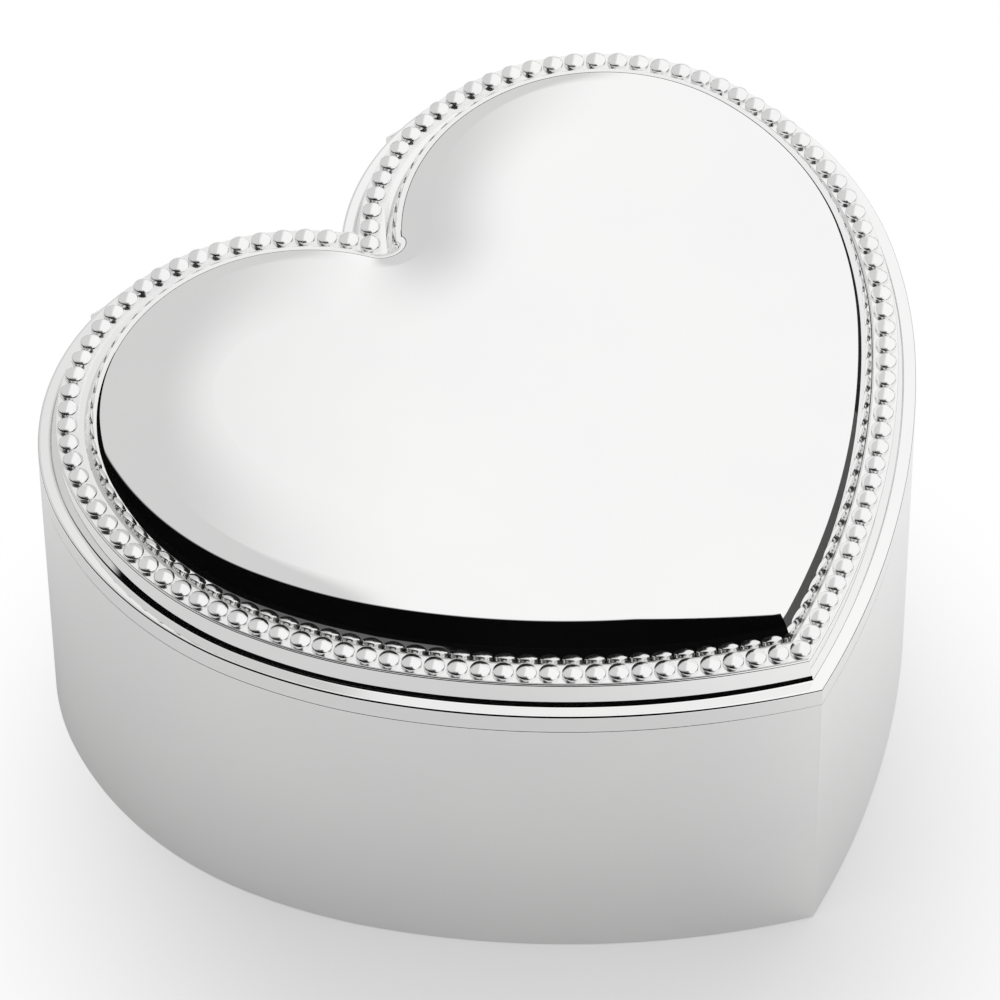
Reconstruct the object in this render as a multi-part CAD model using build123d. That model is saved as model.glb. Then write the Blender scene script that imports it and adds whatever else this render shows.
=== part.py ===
from build123d import *
import os
from dataclasses import dataclass
from math import acos, asin, atan2, cos, degrees, pi, radians, sin, sqrt, tan

# Heart-shaped wind-up music box: plated box and hinged lid over a cylinder movement.
# All sizes are in millimetres. +Z is up, the tip points to -Y, the cleft to +Y.
# The origin is under the middle of the box, on the surface that it stands on.

# Heart outline of the box: four tangent arcs on each side
lobe_radius = 29.4
lobe_spread = 0.7245
shoulder_radius = 42.2
hip_radius = 66.0
flank_radius = 100.9
shoulder_angle = 13.6
hip_angle = -25.0
flank_angle = -38.7

# Box walls and levels
wall = 1.8
seam_height = 38.9
edge_round = 0.3
seam_round = 0.08
base_recess = 7.0
base_thickness = 1.2
base_ledge_width = 3.4
base_ledge_thickness = 2.0
tray_height = 28.2
tray_thickness = 1.2
tray_ledge_width = 1.6
tray_ledge_thickness = 1.2
drop_in_clearance = 0.15
felt_thickness = 0.8
felt_margin = 1.0

# Lid
skirt_height = 2.6
skirt_wall = 1.6
flange_width = 1.45
riser_height = 2.8
riser_lean = 0.65
riser_foot_round = 0.3
riser_top_round = 0.15
lid_sheet = 1.4
plateau_inset = 4.85
plateau_lobe_drop = 0.75
plateau_ease = 1.0
plateau_cleft_radius = 0.8
plateau_rise = 4.5
plateau_draft = 22.0
plateau_shoulder_round = 5.0
crown_slope = 3.5
crown_width = 8.0
crown_round = 150.0
crown_flat = 5.0

# Beaded border
bead_radius = 1.15
bead_height = 0.8
bead_crown = 0.4
bead_inset = 3.45
bead_pitch = 2.5
bead_strip_thickness = 0.3
bead_strip_margin = 0.05

# Velvet linings
lining_gap = 0.1
wall_lining_thickness = 1.0
wall_lining_drop = 1.0
tray_pad_thickness = 2.2
tray_pad_round = 0.9
lid_pad_thickness = 2.0
lid_pad_round = 0.6
lid_pad_gap = 0.2

# Hinges at the back of the two lobes
knuckle_radius = 1.5
hinge_standoff = 1.7
hinge_drop = 3.4
hinge_leaf = 0.7
hinge_leaf_height = 5.0
lid_leaf_grip = 1.2
body_knuckle_length = 3.0
lid_knuckle_length = 4.0
knuckle_gap = 0.2
hinge_pin_radius = 0.7
pin_clearance = 0.05
leaf_seat_gap = 0.02
leaf_swing_gap = 0.3

# Screws
screw_radius = 1.0
screw_head_radius = 1.7
screw_head_height = 1.1
screw_slot_width = 0.5
screw_slot_depth = 0.4
screw_clearance = 0.04
base_screw_inset = 2.0

# Movement layout
movement_y = 4.0
bedplate_thickness = 1.8
bedplate_left = -25.0
bedplate_right = 29.5
bedplate_front = -24.5
bedplate_back = 18.5
bedplate_round = 3.0
bedplate_screw_margin = 3.0

# Spring barrel, crown wheel and key
barrel_x = -12.0
barrel_wall = 1.0
barrel_floor = 0.8
barrel_lift = 0.3
crown_module = 0.62
crown_teeth = 36
crown_face = 1.8
crown_disc = 1.0
spring_thickness = 0.35
spring_turns = 6
spring_height_gap = 0.4
spring_wall_gap = 0.1
arbor_radius = 1.6
arbor_thread_length = 5.2
running_clearance = 0.05
key_width = 17.0
key_height = 4.4
key_thickness = 1.6
key_hub_radius = 2.6
key_hole_radius = 1.3
key_hole_spread = 5.3
key_floor_gap = 0.8

# Pinned cylinder and its arbor
pinion_teeth = 10
pinion_face = 1.6
cylinder_radius = 6.0
cylinder_length = 19.0
cylinder_arbor_radius = 0.9
note_count = 18
note_pitch = 1.0
pins_per_note = 6
pin_radius = 0.2
pin_height = 0.5
golden_angle = 137.508
bearing_thickness = 1.4
bearing_half_width = 3.0
bearing_head = 2.2
side_gap = 0.6

# Tone comb
comb_tip_gap = 0.1
comb_thickness = 1.0
comb_base_depth = 6.0
comb_short_tooth = 7.0
comb_long_tooth = 11.5
comb_slot = 0.25
comb_screw_count = 3

# Governor
wheel_module = 0.4
wheel_teeth = 30
wheel_face = 1.0
governor_pinion_teeth = 8
governor_drop_angle = 25.0
governor_arbor_radius = 0.5
worm_module = 0.3
worm_wheel_teeth = 32
worm_wheel_face = 0.8
worm_pitch_radius = 0.95
worm_core_radius = 0.7
worm_thread_radius = 0.25
worm_thread_turns = 6
worm_pivot_radius = 0.4
bracket_sheet = 1.0
bracket_cheek_half_width = 2.0
bracket_foot = 1.2
fly_radius = 3.2
fly_height = 3.0
fly_thickness = 0.4
fly_hub_radius = 1.1

# Stop work moved by the lid
plunger_radius = 1.0
plunger_reach = 12.4
plunger_lid_gap = 0.2
plunger_foot_gap = 0.3
bush_radius = 2.0
bush_flange_radius = 2.8
bush_flange_thickness = 0.6
stop_pad_gap = 0.25
stop_pad_width = 0.9
stop_pad_height = 2.2
lever_pivot_reach = 3.2
lever_thickness = 0.8
lever_half_width = 0.8
lever_post_width = 1.0
lever_post_foot = 3.0
lever_pin_radius = 0.5
lever_tray_gap = 1.6

# Places and levels that follow from the sizes above
lobe_x = lobe_spread * lobe_radius
rim_height = seam_height + skirt_height
bead_floor = rim_height + riser_height
riser_top = flange_width + riser_lean
base_top = base_recess + base_thickness
tray_top = tray_height + tray_thickness
tray_pad_top = tray_top + tray_pad_thickness
bedplate_top = base_top + bedplate_thickness
hinge_z = seam_height - hinge_drop
lid_pad_top = bead_floor - lid_sheet - lid_pad_gap
lid_pad_bottom = lid_pad_top - lid_pad_thickness


@dataclass(frozen=True)
class Heart:
    """A heart outline of tangent arcs, symmetrical about x = 0."""

    lobe_x: float
    lobe_y: float
    lobe: float
    shoulder: float
    hip: float
    flank: float
    cleft: float = 0.0

    def centres(self):
        """Centres of the flank, hip, shoulder and lobe arcs on the right side."""
        lobe = Vector(self.lobe_x, self.lobe_y)
        shoulder = lobe - polar(self.shoulder - self.lobe, shoulder_angle)
        hip = shoulder - polar(self.hip - self.shoulder, hip_angle)
        flank = hip - polar(self.flank - self.hip, flank_angle)
        return flank, hip, shoulder, lobe

    def tip_angle(self, inset):
        """Angle on the flank arc where it meets the axis at the tip."""
        flank = self.centres()[0]
        return -degrees(acos(-flank.X / (self.flank - inset)))

    def cleft_centre(self):
        """Centre of the hollow arc that rounds the cleft."""
        return Vector(0, self.lobe_y + sqrt((self.lobe + self.cleft) ** 2 - self.lobe_x ** 2))

    def lobe_end(self, inset):
        """Angle on the lobe arc where the cleft begins."""
        if self.cleft:
            return degrees(atan2(self.cleft_centre().Y - self.lobe_y, -self.lobe_x))
        return degrees(acos(max(-1.0, -self.lobe_x / (self.lobe - inset))))

    def arcs(self, inset=0.0):
        """Centre, radius, start angle and end angle of the right side's arcs, from the tip."""
        flank, hip, shoulder, lobe = self.centres()
        return [
            (flank, self.flank - inset, self.tip_angle(inset), flank_angle),
            (hip, self.hip - inset, flank_angle, hip_angle),
            (shoulder, self.shoulder - inset, hip_angle, shoulder_angle),
            (lobe, self.lobe - inset, shoulder_angle, self.lobe_end(inset)),
        ]

    def tip_y(self, inset=0.0):
        """Height along Y of the tip."""
        centre, radius, start, _ = self.arcs(inset)[0]
        return centre.Y + radius * sin(radians(start))

    def rear_y(self):
        """The rearmost point of the lobes."""
        return self.lobe_y + self.lobe

    def edges(self, inset=0.0):
        """Closed chain of arcs round the whole heart."""
        chain = []
        for centre, radius, start, end in self.arcs(inset):
            chain.append(CenterArc(centre, radius, start, end - start))
            mirrored = Vector(-centre.X, centre.Y)
            chain.append(CenterArc(mirrored, radius, 180 - end, end - start))
        if self.cleft:
            turn = self.lobe_end(inset)
            chain.append(CenterArc(self.cleft_centre(), self.cleft + inset, 360 - turn, 2 * turn - 180))
        return chain

    def face(self, inset=0.0):
        """Flat heart, inset from the outline."""
        return make_face(self.edges(inset))

    def plate(self, inset, bottom, top):
        """Flat heart-shaped plate between two heights."""
        return extrude(Pos(0, 0, bottom) * self.face(inset), top - bottom)

    def band(self, profile, reach):
        """Solid with the same profile all round, drawn with x = -inset and y = height."""
        outline = self.arcs()
        outline[0] = (*outline[0][:2], self.tip_angle(0) - 1, flank_angle)
        if not self.cleft:
            outline[3] = (*outline[3][:3], min(180.0, self.lobe_end(reach) + 1))
        sectors = [sector(profile, *arc) for arc in outline]
        if self.cleft:
            hollow = mirror(profile, Plane.YZ)
            sectors.append(sector(hollow, self.cleft_centre(), self.cleft, 270, 180 + self.lobe_end(0)))
        half = sectors[0].fuse(*sectors[1:])
        half = half & right_half
        return half + mirror(half, Plane.YZ)

    def block(self, outline, reach, rounds=()):
        """Band of a profile and the core that it surrounds, as one solid."""
        profile = rounded_profile(outline, rounds)
        heights = [z for inset, z in outline if inset == reach]
        return self.band(profile, reach) + self.plate(reach, min(heights), max(heights))


def polar(length, angle):
    """Vector of a length at an angle in degrees."""
    return Vector(length * cos(radians(angle)), length * sin(radians(angle)))


def sector(profile, centre, radius, start, end):
    """Profile turned about an upright axis between two angles."""
    out = polar(1, start)
    upright = Plane(origin=(centre.X, centre.Y, 0), x_dir=(out.X, out.Y, 0), z_dir=(out.Y, -out.X, 0))
    section = upright * (Pos(radius, 0, 0) * profile)
    return revolve(section, Axis((centre.X, centre.Y, 0), (0, 0, 1)), end - start)


def rounded_profile(outline, rounds=()):
    """Closed profile of (inset, height) corners, with some corners rounded."""
    profile = make_face(Polyline(*[(-inset, z) for inset, z in outline], close=True))
    for inset, z, radius in rounds:
        corner = profile.vertices().sort_by_distance((-inset, z, 0))[0]
        profile = fillet(corner, radius)
    return profile


def block(x, y, z):
    """Rectangular block between pairs of limits."""
    size = (x[1] - x[0], y[1] - y[0], z[1] - z[0])
    return Pos(x[0], y[0], z[0]) * Box(*size, align=(Align.MIN, Align.MIN, Align.MIN))


def rod_x(radius, x, y, z):
    """Round rod along X between two limits."""
    return Pos(x[0], y, z) * Rot(0, 90, 0) * Cylinder(radius, x[1] - x[0], align=on_base)


def rod_y(radius, y, x, z):
    """Round rod along Y between two limits."""
    return Pos(x, y[0], z) * Rot(-90, 0, 0) * Cylinder(radius, y[1] - y[0], align=on_base)


def rod_z(radius, z, x, y):
    """Round rod along Z between two limits."""
    return Pos(x, y, z[0]) * Cylinder(radius, z[1] - z[0], align=on_base)


def screw(x, y, seat, depth, up):
    """Slotted screw whose head bears on a seat and whose shank goes in by a depth."""
    head = rod_z(screw_head_radius, (-screw_head_height, 0), 0, 0)
    shank = rod_z(screw_radius, (0, depth), 0, 0)
    slot = Pos(0, 0, -screw_head_height) * Box(
        2 * screw_head_radius, screw_slot_width, 2 * screw_slot_depth)
    piece = head + shank - slot
    return Pos(x, y, seat) * (piece if up else Rot(180, 0, 0) * piece)


def gear_face(teeth, tip, root, pitch, share, turn):
    """Spur wheel outline: straight-sided teeth, one of them centred at the angle turn."""
    step = 360 / teeth
    half = step * share / 2
    corners = []
    for index in range(teeth):
        middle = turn + index * step
        for radius, offset in ((root, -1.35), (pitch, -1.0), (tip, -0.5), (tip, 0.5), (pitch, 1.0), (root, 1.35)):
            corners.append(polar(radius, middle + offset * half))
    return make_face(Polyline(*corners, close=True))


def wheel_x(face, x, y, z, bore):
    """Toothed wheel on an axis along X, with a bore for its arbor."""
    section = Plane((x[0], y, z), x_dir=(0, 1, 0), z_dir=(1, 0, 0)) * face
    return extrude(section, x[1] - x[0]) - rod_x(bore, x, y, z)


on_base = (Align.CENTER, Align.CENTER, Align.MIN)
right_half = block((0, 150), (-150, 150), (-50, 150))

# The heart's place: the box and its hinge knuckles are centred on the origin along Y
centred = Heart(lobe_x, 0, lobe_radius, shoulder_radius, hip_radius, flank_radius)
rear_reach = lobe_radius + hinge_standoff + knuckle_radius
lobe_y = -(centred.tip_y() + rear_reach) / 2
box_heart = Heart(lobe_x, lobe_y, lobe_radius, shoulder_radius, hip_radius, flank_radius)
plateau_heart = Heart(
    lobe_x, lobe_y - plateau_lobe_drop, lobe_radius - plateau_inset,
    shoulder_radius - plateau_inset - plateau_ease, hip_radius - plateau_inset - plateau_ease,
    flank_radius - plateau_inset + plateau_ease, plateau_cleft_radius)
hinge_y = box_heart.rear_y() + hinge_standoff

# Movement axes
cylinder_y = movement_y
pinion_pitch = crown_module * pinion_teeth / 2
crown_pitch = crown_module * crown_teeth / 2
cylinder_z = tray_height - side_gap - pin_height - cylinder_radius
crown_plane = cylinder_z - pinion_pitch
crown_outer = crown_pitch + crown_face / 2
crown_tooth_up = 0.9 * crown_module
crown_tooth_down = 1.15 * crown_module
pinion_x = barrel_x + crown_pitch
bearing_x = barrel_x + crown_outer + running_clearance + side_gap
cylinder_x = bearing_x + bearing_thickness + side_gap
wheel_x_place = cylinder_x + cylinder_length + side_gap
right_bearing_x = wheel_x_place + wheel_face + side_gap
cylinder_arbor_end = right_bearing_x + bearing_thickness + side_gap / 2
wheel_pitch = wheel_module * wheel_teeth / 2
governor_pinion_pitch = wheel_module * governor_pinion_teeth / 2
governor_distance = wheel_pitch + governor_pinion_pitch
governor_y = cylinder_y + governor_distance * cos(radians(governor_drop_angle))
governor_z = cylinder_z - governor_distance * sin(radians(governor_drop_angle))
worm_wheel_pitch = worm_module * worm_wheel_teeth / 2
worm_wheel_tip = worm_wheel_pitch + 0.35 * worm_module
worm_wheel_x = cylinder_arbor_end + side_gap
worm_x = worm_wheel_x + worm_wheel_face / 2
worm_y = governor_y + worm_wheel_pitch + worm_pitch_radius
worm_lead = pi * worm_module
far_cheek_x = worm_wheel_x + worm_wheel_face + 2 * side_gap

# Screw places
ledge_screw = wall + base_screw_inset
base_screw_places = [
    (0, box_heart.tip_y(ledge_screw)),
    (lobe_x, box_heart.rear_y() - ledge_screw),
    (-lobe_x, box_heart.rear_y() - ledge_screw),
]
bedplate_screw_places = [
    (bedplate_left + bedplate_screw_margin, movement_y + bedplate_front + bedplate_screw_margin),
    (bedplate_right - bedplate_screw_margin, movement_y + bedplate_front + bedplate_screw_margin),
    (bedplate_left + bedplate_screw_margin, movement_y + bedplate_back - bedplate_screw_margin),
]
screw_hole = screw_radius + screw_clearance

# Stop work places
plunger_x = worm_x + plunger_reach
fly_top = tray_height - side_gap - bracket_sheet - side_gap
fly_bottom = fly_top - fly_height
stop_pad_x = worm_x + fly_radius + stop_pad_gap
lever_x = stop_pad_x + lever_pivot_reach
lever_z = tray_height - lever_tray_gap - lever_thickness / 2
plunger_foot = lever_z + lever_thickness / 2 + plunger_foot_gap
plunger_head = lid_pad_bottom - plunger_lid_gap


def body_shell():
    """Box wall with a foot rim below, a ledge for the base and a ledge for the tray."""
    tray_inset = wall + tray_ledge_width
    base_inset = wall + base_ledge_width
    ledge_bottom = tray_height - tray_ledge_thickness
    outline = [
        (0, 0), (0, seam_height), (wall, seam_height), (wall, tray_height),
        (tray_inset, tray_height), (tray_inset, ledge_bottom), (wall, ledge_bottom - tray_ledge_width),
        (wall, base_top + base_ledge_thickness), (base_inset, base_top + base_ledge_thickness),
        (base_inset, base_top), (wall, base_top), (wall, 0),
    ]
    rounds = [(0, 0, edge_round), (0, seam_height, seam_round), (wall, seam_height, seam_round)]
    shell = box_heart.band(rounded_profile(outline, rounds), base_inset)
    for x, y in base_screw_places:
        shell -= rod_z(screw_hole, (base_top, base_top + base_ledge_thickness), x, y)
    return shell


def base_plate():
    """Plate screwed up under the ledge, with holes for the arbor and the screws."""
    plate = box_heart.plate(wall + drop_in_clearance, base_recess, base_top)
    plate -= rod_z(arbor_radius + running_clearance, (base_recess, base_top), barrel_x, movement_y)
    for x, y in base_screw_places + bedplate_screw_places:
        plate -= rod_z(screw_hole, (base_recess, base_top), x, y)
    return plate


def base_felt():
    """Felt glued under the base plate, cut out round the key and the screw heads."""
    inset = wall + base_ledge_width + felt_margin
    bottom = base_recess - felt_thickness
    felt = box_heart.plate(inset, bottom, base_recess)
    felt -= rod_z(key_hub_radius + felt_margin, (bottom, base_recess), barrel_x, movement_y)
    for x, y in bedplate_screw_places:
        felt -= rod_z(screw_head_radius + felt_margin, (bottom, base_recess), x, y)
    return felt


def base_screws():
    """Screws that hold the base plate to the ledge."""
    depth = base_thickness + base_ledge_thickness
    return Compound(children=[screw(x, y, base_recess, depth, True) for x, y in base_screw_places])


def movement_screws():
    """Screws that hold the bedplate to the base plate."""
    depth = base_thickness + bedplate_thickness
    return Compound(children=[screw(x, y, base_recess, depth, True) for x, y in bedplate_screw_places])


def inner_tray():
    """False floor over the movement, with a hole for the plunger's bush."""
    tray = box_heart.plate(wall + drop_in_clearance, tray_height, tray_top)
    return tray - rod_z(bush_radius + screw_clearance, (tray_height, tray_top), plunger_x, worm_y)


def tray_lining():
    """Velvet pad on the false floor, rounded along its edge."""
    inset = wall + 2 * lining_gap + wall_lining_thickness
    reach = inset + 2 * tray_pad_round
    outline = [(inset, tray_top), (inset, tray_pad_top), (reach, tray_pad_top), (reach, tray_top)]
    pad = box_heart.block(outline, reach, [(inset, tray_pad_top, tray_pad_round)])
    hole = bush_flange_radius + lining_gap
    return pad - rod_z(hole, (tray_top, tray_pad_top), plunger_x, worm_y)


def wall_lining():
    """Velvet strip round the inside of the wall, above the false floor."""
    outer = wall + lining_gap
    inner = outer + wall_lining_thickness
    top = seam_height - wall_lining_drop
    outline = [(outer, tray_top), (outer, top), (inner, top), (inner, tray_top)]
    return box_heart.band(rounded_profile(outline, [(inner, top, wall_lining_thickness / 2)]), inner)


def lid_shell():
    """Lid: skirt, flat flange, riser, bead floor and the raised heart in the middle."""
    core = plateau_inset
    outline = [
        (0, seam_height), (0, rim_height), (flange_width, rim_height), (riser_top, bead_floor),
        (core, bead_floor), (core, seam_height),
    ]
    rounds = [
        (0, seam_height, seam_round), (0, rim_height, edge_round),
        (flange_width, rim_height, riser_foot_round), (riser_top, bead_floor, riser_top_round),
    ]
    lower = box_heart.block(outline, core, rounds)
    return lower + raised_heart(0) - lid_hollow()


def raised_heart(skin):
    """Raised heart of the lid, or its hollow when a skin thickness is given."""
    foot = bead_floor - lid_sheet - edge_round
    top = bead_floor + plateau_rise - skin
    lean = plateau_rise * tan(radians(plateau_draft))
    brow = skin + lean
    inner = brow + crown_width
    crown = top + crown_width * tan(radians(crown_slope))
    reach = inner + crown_flat
    outline = [
        (skin, foot), (skin, bead_floor - skin), (brow, top), (inner, crown), (reach, crown), (reach, foot),
    ]
    rounds = [(brow, top, plateau_shoulder_round - skin), (inner, crown, crown_round)]
    return plateau_heart.block(outline, reach, rounds)


def lid_hollow():
    """Space inside the lid, one sheet thickness in from the outside."""
    core = plateau_inset + lid_sheet
    shelf = rim_height - lid_sheet
    roof = bead_floor - lid_sheet
    outline = [
        (skirt_wall, seam_height), (skirt_wall, shelf), (flange_width + lid_sheet, shelf),
        (riser_top + lid_sheet, roof), (core, roof), (core, seam_height),
    ]
    return box_heart.block(outline, core) + raised_heart(lid_sheet)


def lid_lining():
    """Velvet-covered card that closes the hollow of the lid."""
    inset = riser_top + lid_sheet + lid_pad_gap
    reach = inset + 2 * lid_pad_round
    outline = [(inset, lid_pad_bottom), (inset, lid_pad_top), (reach, lid_pad_top), (reach, lid_pad_bottom)]
    return box_heart.block(outline, reach, [(inset, lid_pad_bottom, lid_pad_round)])


def bead_border():
    """Beaded strip soldered round the raised heart: low round beads on a thin band."""
    outer = bead_inset - bead_radius - bead_strip_margin
    inner = bead_inset + bead_radius + bead_strip_margin
    top = bead_floor + bead_strip_thickness
    outline = [(outer, bead_floor), (outer, top), (inner, top), (inner, bead_floor)]
    strip = box_heart.band(rounded_profile(outline), inner)
    curve = (bead_radius ** 2 + bead_crown ** 2) / (2 * bead_crown)
    bead = rod_z(bead_radius, (0, bead_height), 0, 0) & (Pos(0, 0, bead_height - curve) * Sphere(curve))
    beads = []
    for x, y in bead_places():
        beads.append(Pos(x, y, top) * bead)
        if x > bead_radius:
            beads.append(Pos(-x, y, top) * bead)
    return strip.fuse(*beads)


def bead_places():
    """Places of the beads on the right side, evenly spaced from the tip to the cleft."""
    arcs = box_heart.arcs(bead_inset)
    lengths = [radius * radians(end - start) for _, radius, start, end in arcs]
    count = round(sum(lengths) / bead_pitch)
    places = []
    for index in range(count + 1):
        travel = sum(lengths) * index / count
        for (centre, radius, start, _), length in zip(arcs, lengths):
            if travel <= length + 1e-6:
                spot = centre + polar(radius, start + degrees(travel / radius))
                places.append((spot.X, spot.Y))
                break
            travel -= length
    return places


def hinge_sides():
    """Place of each hinge along X."""
    return (-lobe_x, lobe_x)


def knuckle(arm, middle, length, bore):
    """Arm of a hinge leaf with the knuckle at its end and the bore for the pin."""
    x = (middle - length / 2, middle + length / 2)
    return arm + rod_x(knuckle_radius, x, hinge_y, hinge_z) - rod_x(bore, x, hinge_y, hinge_z)


def leaf(middle, length, bottom, top, clear):
    """Hinge leaf between two heights, hollowed on one side to fit the lobe's wall."""
    x = (middle - length / 2, middle + length / 2)
    back = hinge_y - hinge_standoff + hinge_leaf
    plate = block(x, (back - 2 * hinge_leaf, back), (bottom, top))
    lobe = lobe_x if middle > 0 else -lobe_x
    return plate - rod_z(lobe_radius + clear, (bottom, top), lobe, lobe_y)


def body_hinge_leaves():
    """Lower hinge leaves, each with two knuckles, soldered to the box wall."""
    pieces = []
    spread = (lid_knuckle_length + body_knuckle_length) / 2 + knuckle_gap
    for side in hinge_sides():
        length = 2 * (spread + body_knuckle_length / 2)
        bottom = hinge_z - hinge_leaf_height
        piece = leaf(side, length, bottom, hinge_z - knuckle_radius - knuckle_gap, leaf_seat_gap)
        for middle in (side - spread, side + spread):
            arm = leaf(middle, body_knuckle_length, bottom, hinge_z, leaf_seat_gap)
            piece += knuckle(arm, middle, body_knuckle_length, hinge_pin_radius)
        pieces.append(piece)
    return Compound(children=pieces)


def lid_hinge_leaves():
    """Upper hinge leaves, each with one knuckle, soldered to the lid's skirt."""
    pieces = []
    for side in hinge_sides():
        piece = leaf(side, lid_knuckle_length, seam_height, seam_height + lid_leaf_grip, leaf_seat_gap)
        piece += leaf(side, lid_knuckle_length, hinge_z, seam_height, leaf_swing_gap)
        pieces.append(knuckle(piece, side, lid_knuckle_length, hinge_pin_radius + pin_clearance))
    return Compound(children=pieces)


def hinge_pins():
    """Pins through the knuckles."""
    half = lid_knuckle_length / 2 + knuckle_gap + body_knuckle_length
    return Compound(children=[
        rod_x(hinge_pin_radius, (side - half, side + half), hinge_y, hinge_z) for side in hinge_sides()])


def comb_limits():
    """Front edge, back edge and tooth tips of the comb along Y."""
    tips = cylinder_y - cylinder_radius - pin_height - comb_tip_gap
    roots = tips - comb_long_tooth
    return roots - comb_base_depth, roots, tips


def comb_screw_places():
    """Places of the comb's screws."""
    front, roots, _ = comb_limits()
    step = cylinder_length / comb_screw_count
    return [(cylinder_x + (index + 0.5) * step, (front + roots) / 2) for index in range(comb_screw_count)]


def movement_bedplate():
    """Cast bedplate with the raised land that carries the comb."""
    y = (movement_y + bedplate_front, movement_y + bedplate_back)
    plate = block((bedplate_left, bedplate_right), y, (base_top, bedplate_top))
    plate = fillet(plate.edges().filter_by(Axis.Z), bedplate_round)
    front, roots, _ = comb_limits()
    land_top = cylinder_z - comb_thickness / 2
    plate += block((cylinder_x, cylinder_x + cylinder_length), (front, roots), (base_top, land_top))
    plate -= rod_z(arbor_radius + running_clearance, (base_top, bedplate_top), barrel_x, movement_y)
    for x, y in bedplate_screw_places:
        plate -= rod_z(screw_hole, (base_top, bedplate_top), x, y)
    for x, y in comb_screw_places():
        plate -= rod_z(screw_hole, (land_top - 3 * screw_radius, land_top), x, y)
    return plate


def spring_barrel():
    """Cup that holds the mainspring and turns on the winding arbor."""
    floor = bedplate_top + barrel_lift
    rim = crown_plane - crown_tooth_down - crown_disc
    cup = rod_z(crown_outer, (floor, rim), barrel_x, movement_y)
    cup -= rod_z(crown_outer - barrel_wall, (floor + barrel_floor, rim), barrel_x, movement_y)
    return cup - rod_z(arbor_radius + running_clearance, (floor, rim), barrel_x, movement_y)


def crown_wheel():
    """Barrel cover with upright teeth round its edge."""
    bottom = crown_plane - crown_tooth_down - crown_disc
    root = crown_plane - crown_tooth_down
    disc = rod_z(crown_outer, (bottom, root), barrel_x, movement_y)
    disc -= rod_z(arbor_radius + running_clearance, (bottom, root), barrel_x, movement_y)
    foot = 0.225 * pi * crown_module
    tip = 0.11 * pi * crown_module
    height = crown_tooth_up + crown_tooth_down
    corners = [(-foot, 0), (-tip, height), (tip, height), (foot, 0)]
    side = Plane((crown_pitch - crown_face / 2, 0, root), x_dir=(0, 1, 0), z_dir=(1, 0, 0))
    upright = extrude(side * make_face(Polyline(*corners, close=True)), crown_face - running_clearance)
    step = 360 / crown_teeth
    teeth = [
        Pos(barrel_x, movement_y, 0) * Rot(0, 0, (index + 0.5) * step) * upright
        for index in range(crown_teeth)
    ]
    return disc.fuse(*teeth)


def mainspring():
    """Flat steel spring wound in the barrel, as half turns of growing radius."""
    edges = {-1: [], 1: []}
    half = spring_thickness / 2
    room = crown_outer - barrel_wall - spring_wall_gap - half - arbor_radius
    spring_pitch = room / (spring_turns + 1)
    first = arbor_radius + spring_pitch
    for side, chain in edges.items():
        for turn in range(spring_turns):
            radius = first + turn * spring_pitch + side * half
            chain.append(CenterArc((0, 0), radius, 0, 180))
            chain.append(CenterArc((spring_pitch / 2, 0), radius + spring_pitch / 2, 180, 180))
    last = first + spring_turns * spring_pitch
    ends = [Line((first - half, 0), (first + half, 0)), Line((last - half, 0), (last + half, 0))]
    bottom = bedplate_top + barrel_lift + barrel_floor + spring_height_gap
    top = crown_plane - crown_tooth_down - crown_disc - spring_height_gap
    ribbon = extrude(make_face(edges[-1] + edges[1] + ends), top - bottom)
    return Pos(barrel_x, movement_y, bottom) * ribbon


def winding_arbor():
    """Arbor that the key turns, up through the base, the bedplate and the barrel."""
    bottom = base_recess - arbor_thread_length
    top = crown_plane - crown_tooth_down + crown_disc
    return rod_z(arbor_radius, (bottom, top), barrel_x, movement_y)


def winding_key():
    """Butterfly key in the recess under the box."""
    middle = key_floor_gap + key_height / 2
    wings = extrude(Plane.XZ * RectangleRounded(key_width, key_height, key_height * 0.45), key_thickness / 2, both=True)
    for side in (-1, 1):
        wings -= rod_y(key_hole_radius, (-key_thickness, key_thickness), side * key_hole_spread, 0)
    hub_top = base_recess - felt_thickness - key_floor_gap - middle
    hub = rod_z(key_hub_radius, (-key_height / 2, hub_top), 0, 0)
    key = Pos(barrel_x, movement_y, middle) * (wings + hub)
    bottom = base_recess - arbor_thread_length
    return key - rod_z(arbor_radius, (bottom, base_recess), barrel_x, movement_y)


def cylinder_pinion():
    """Pinion on the cylinder's arbor that the crown wheel drives."""
    tip = pinion_pitch + 0.85 * crown_module
    root = pinion_pitch - 1.15 * crown_module
    face = gear_face(pinion_teeth, tip, root, pinion_pitch, 0.34, -90)
    x = (pinion_x - pinion_face / 2, pinion_x + pinion_face / 2)
    return wheel_x(face, x, cylinder_y, cylinder_z, cylinder_arbor_radius)


def cylinder_arbor():
    """Arbor that carries the pinion, the cylinder and the cylinder wheel."""
    start = pinion_x - pinion_face / 2 - side_gap / 2
    return rod_x(cylinder_arbor_radius, (start, cylinder_arbor_end), cylinder_y, cylinder_z)


def pinned_cylinder():
    """Brass cylinder with the tune's pins set in rows, one row for each note."""
    x = (cylinder_x, cylinder_x + cylinder_length)
    drum = rod_x(cylinder_radius, x, cylinder_y, cylinder_z)
    drum -= rod_x(cylinder_arbor_radius, x, cylinder_y, cylinder_z)
    pin = rod_z(pin_radius, (cylinder_radius - pin_height, cylinder_radius + pin_height), 0, 0)
    first = cylinder_x + (cylinder_length - (note_count - 1) * note_pitch) / 2
    pins = []
    for note in range(note_count):
        for beat in range(pins_per_note):
            turn = (note * pins_per_note + beat) * golden_angle
            pins.append(Pos(first + note * note_pitch, cylinder_y, cylinder_z) * Rot(turn, 0, 0) * pin)
    return drum.fuse(*pins)


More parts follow.
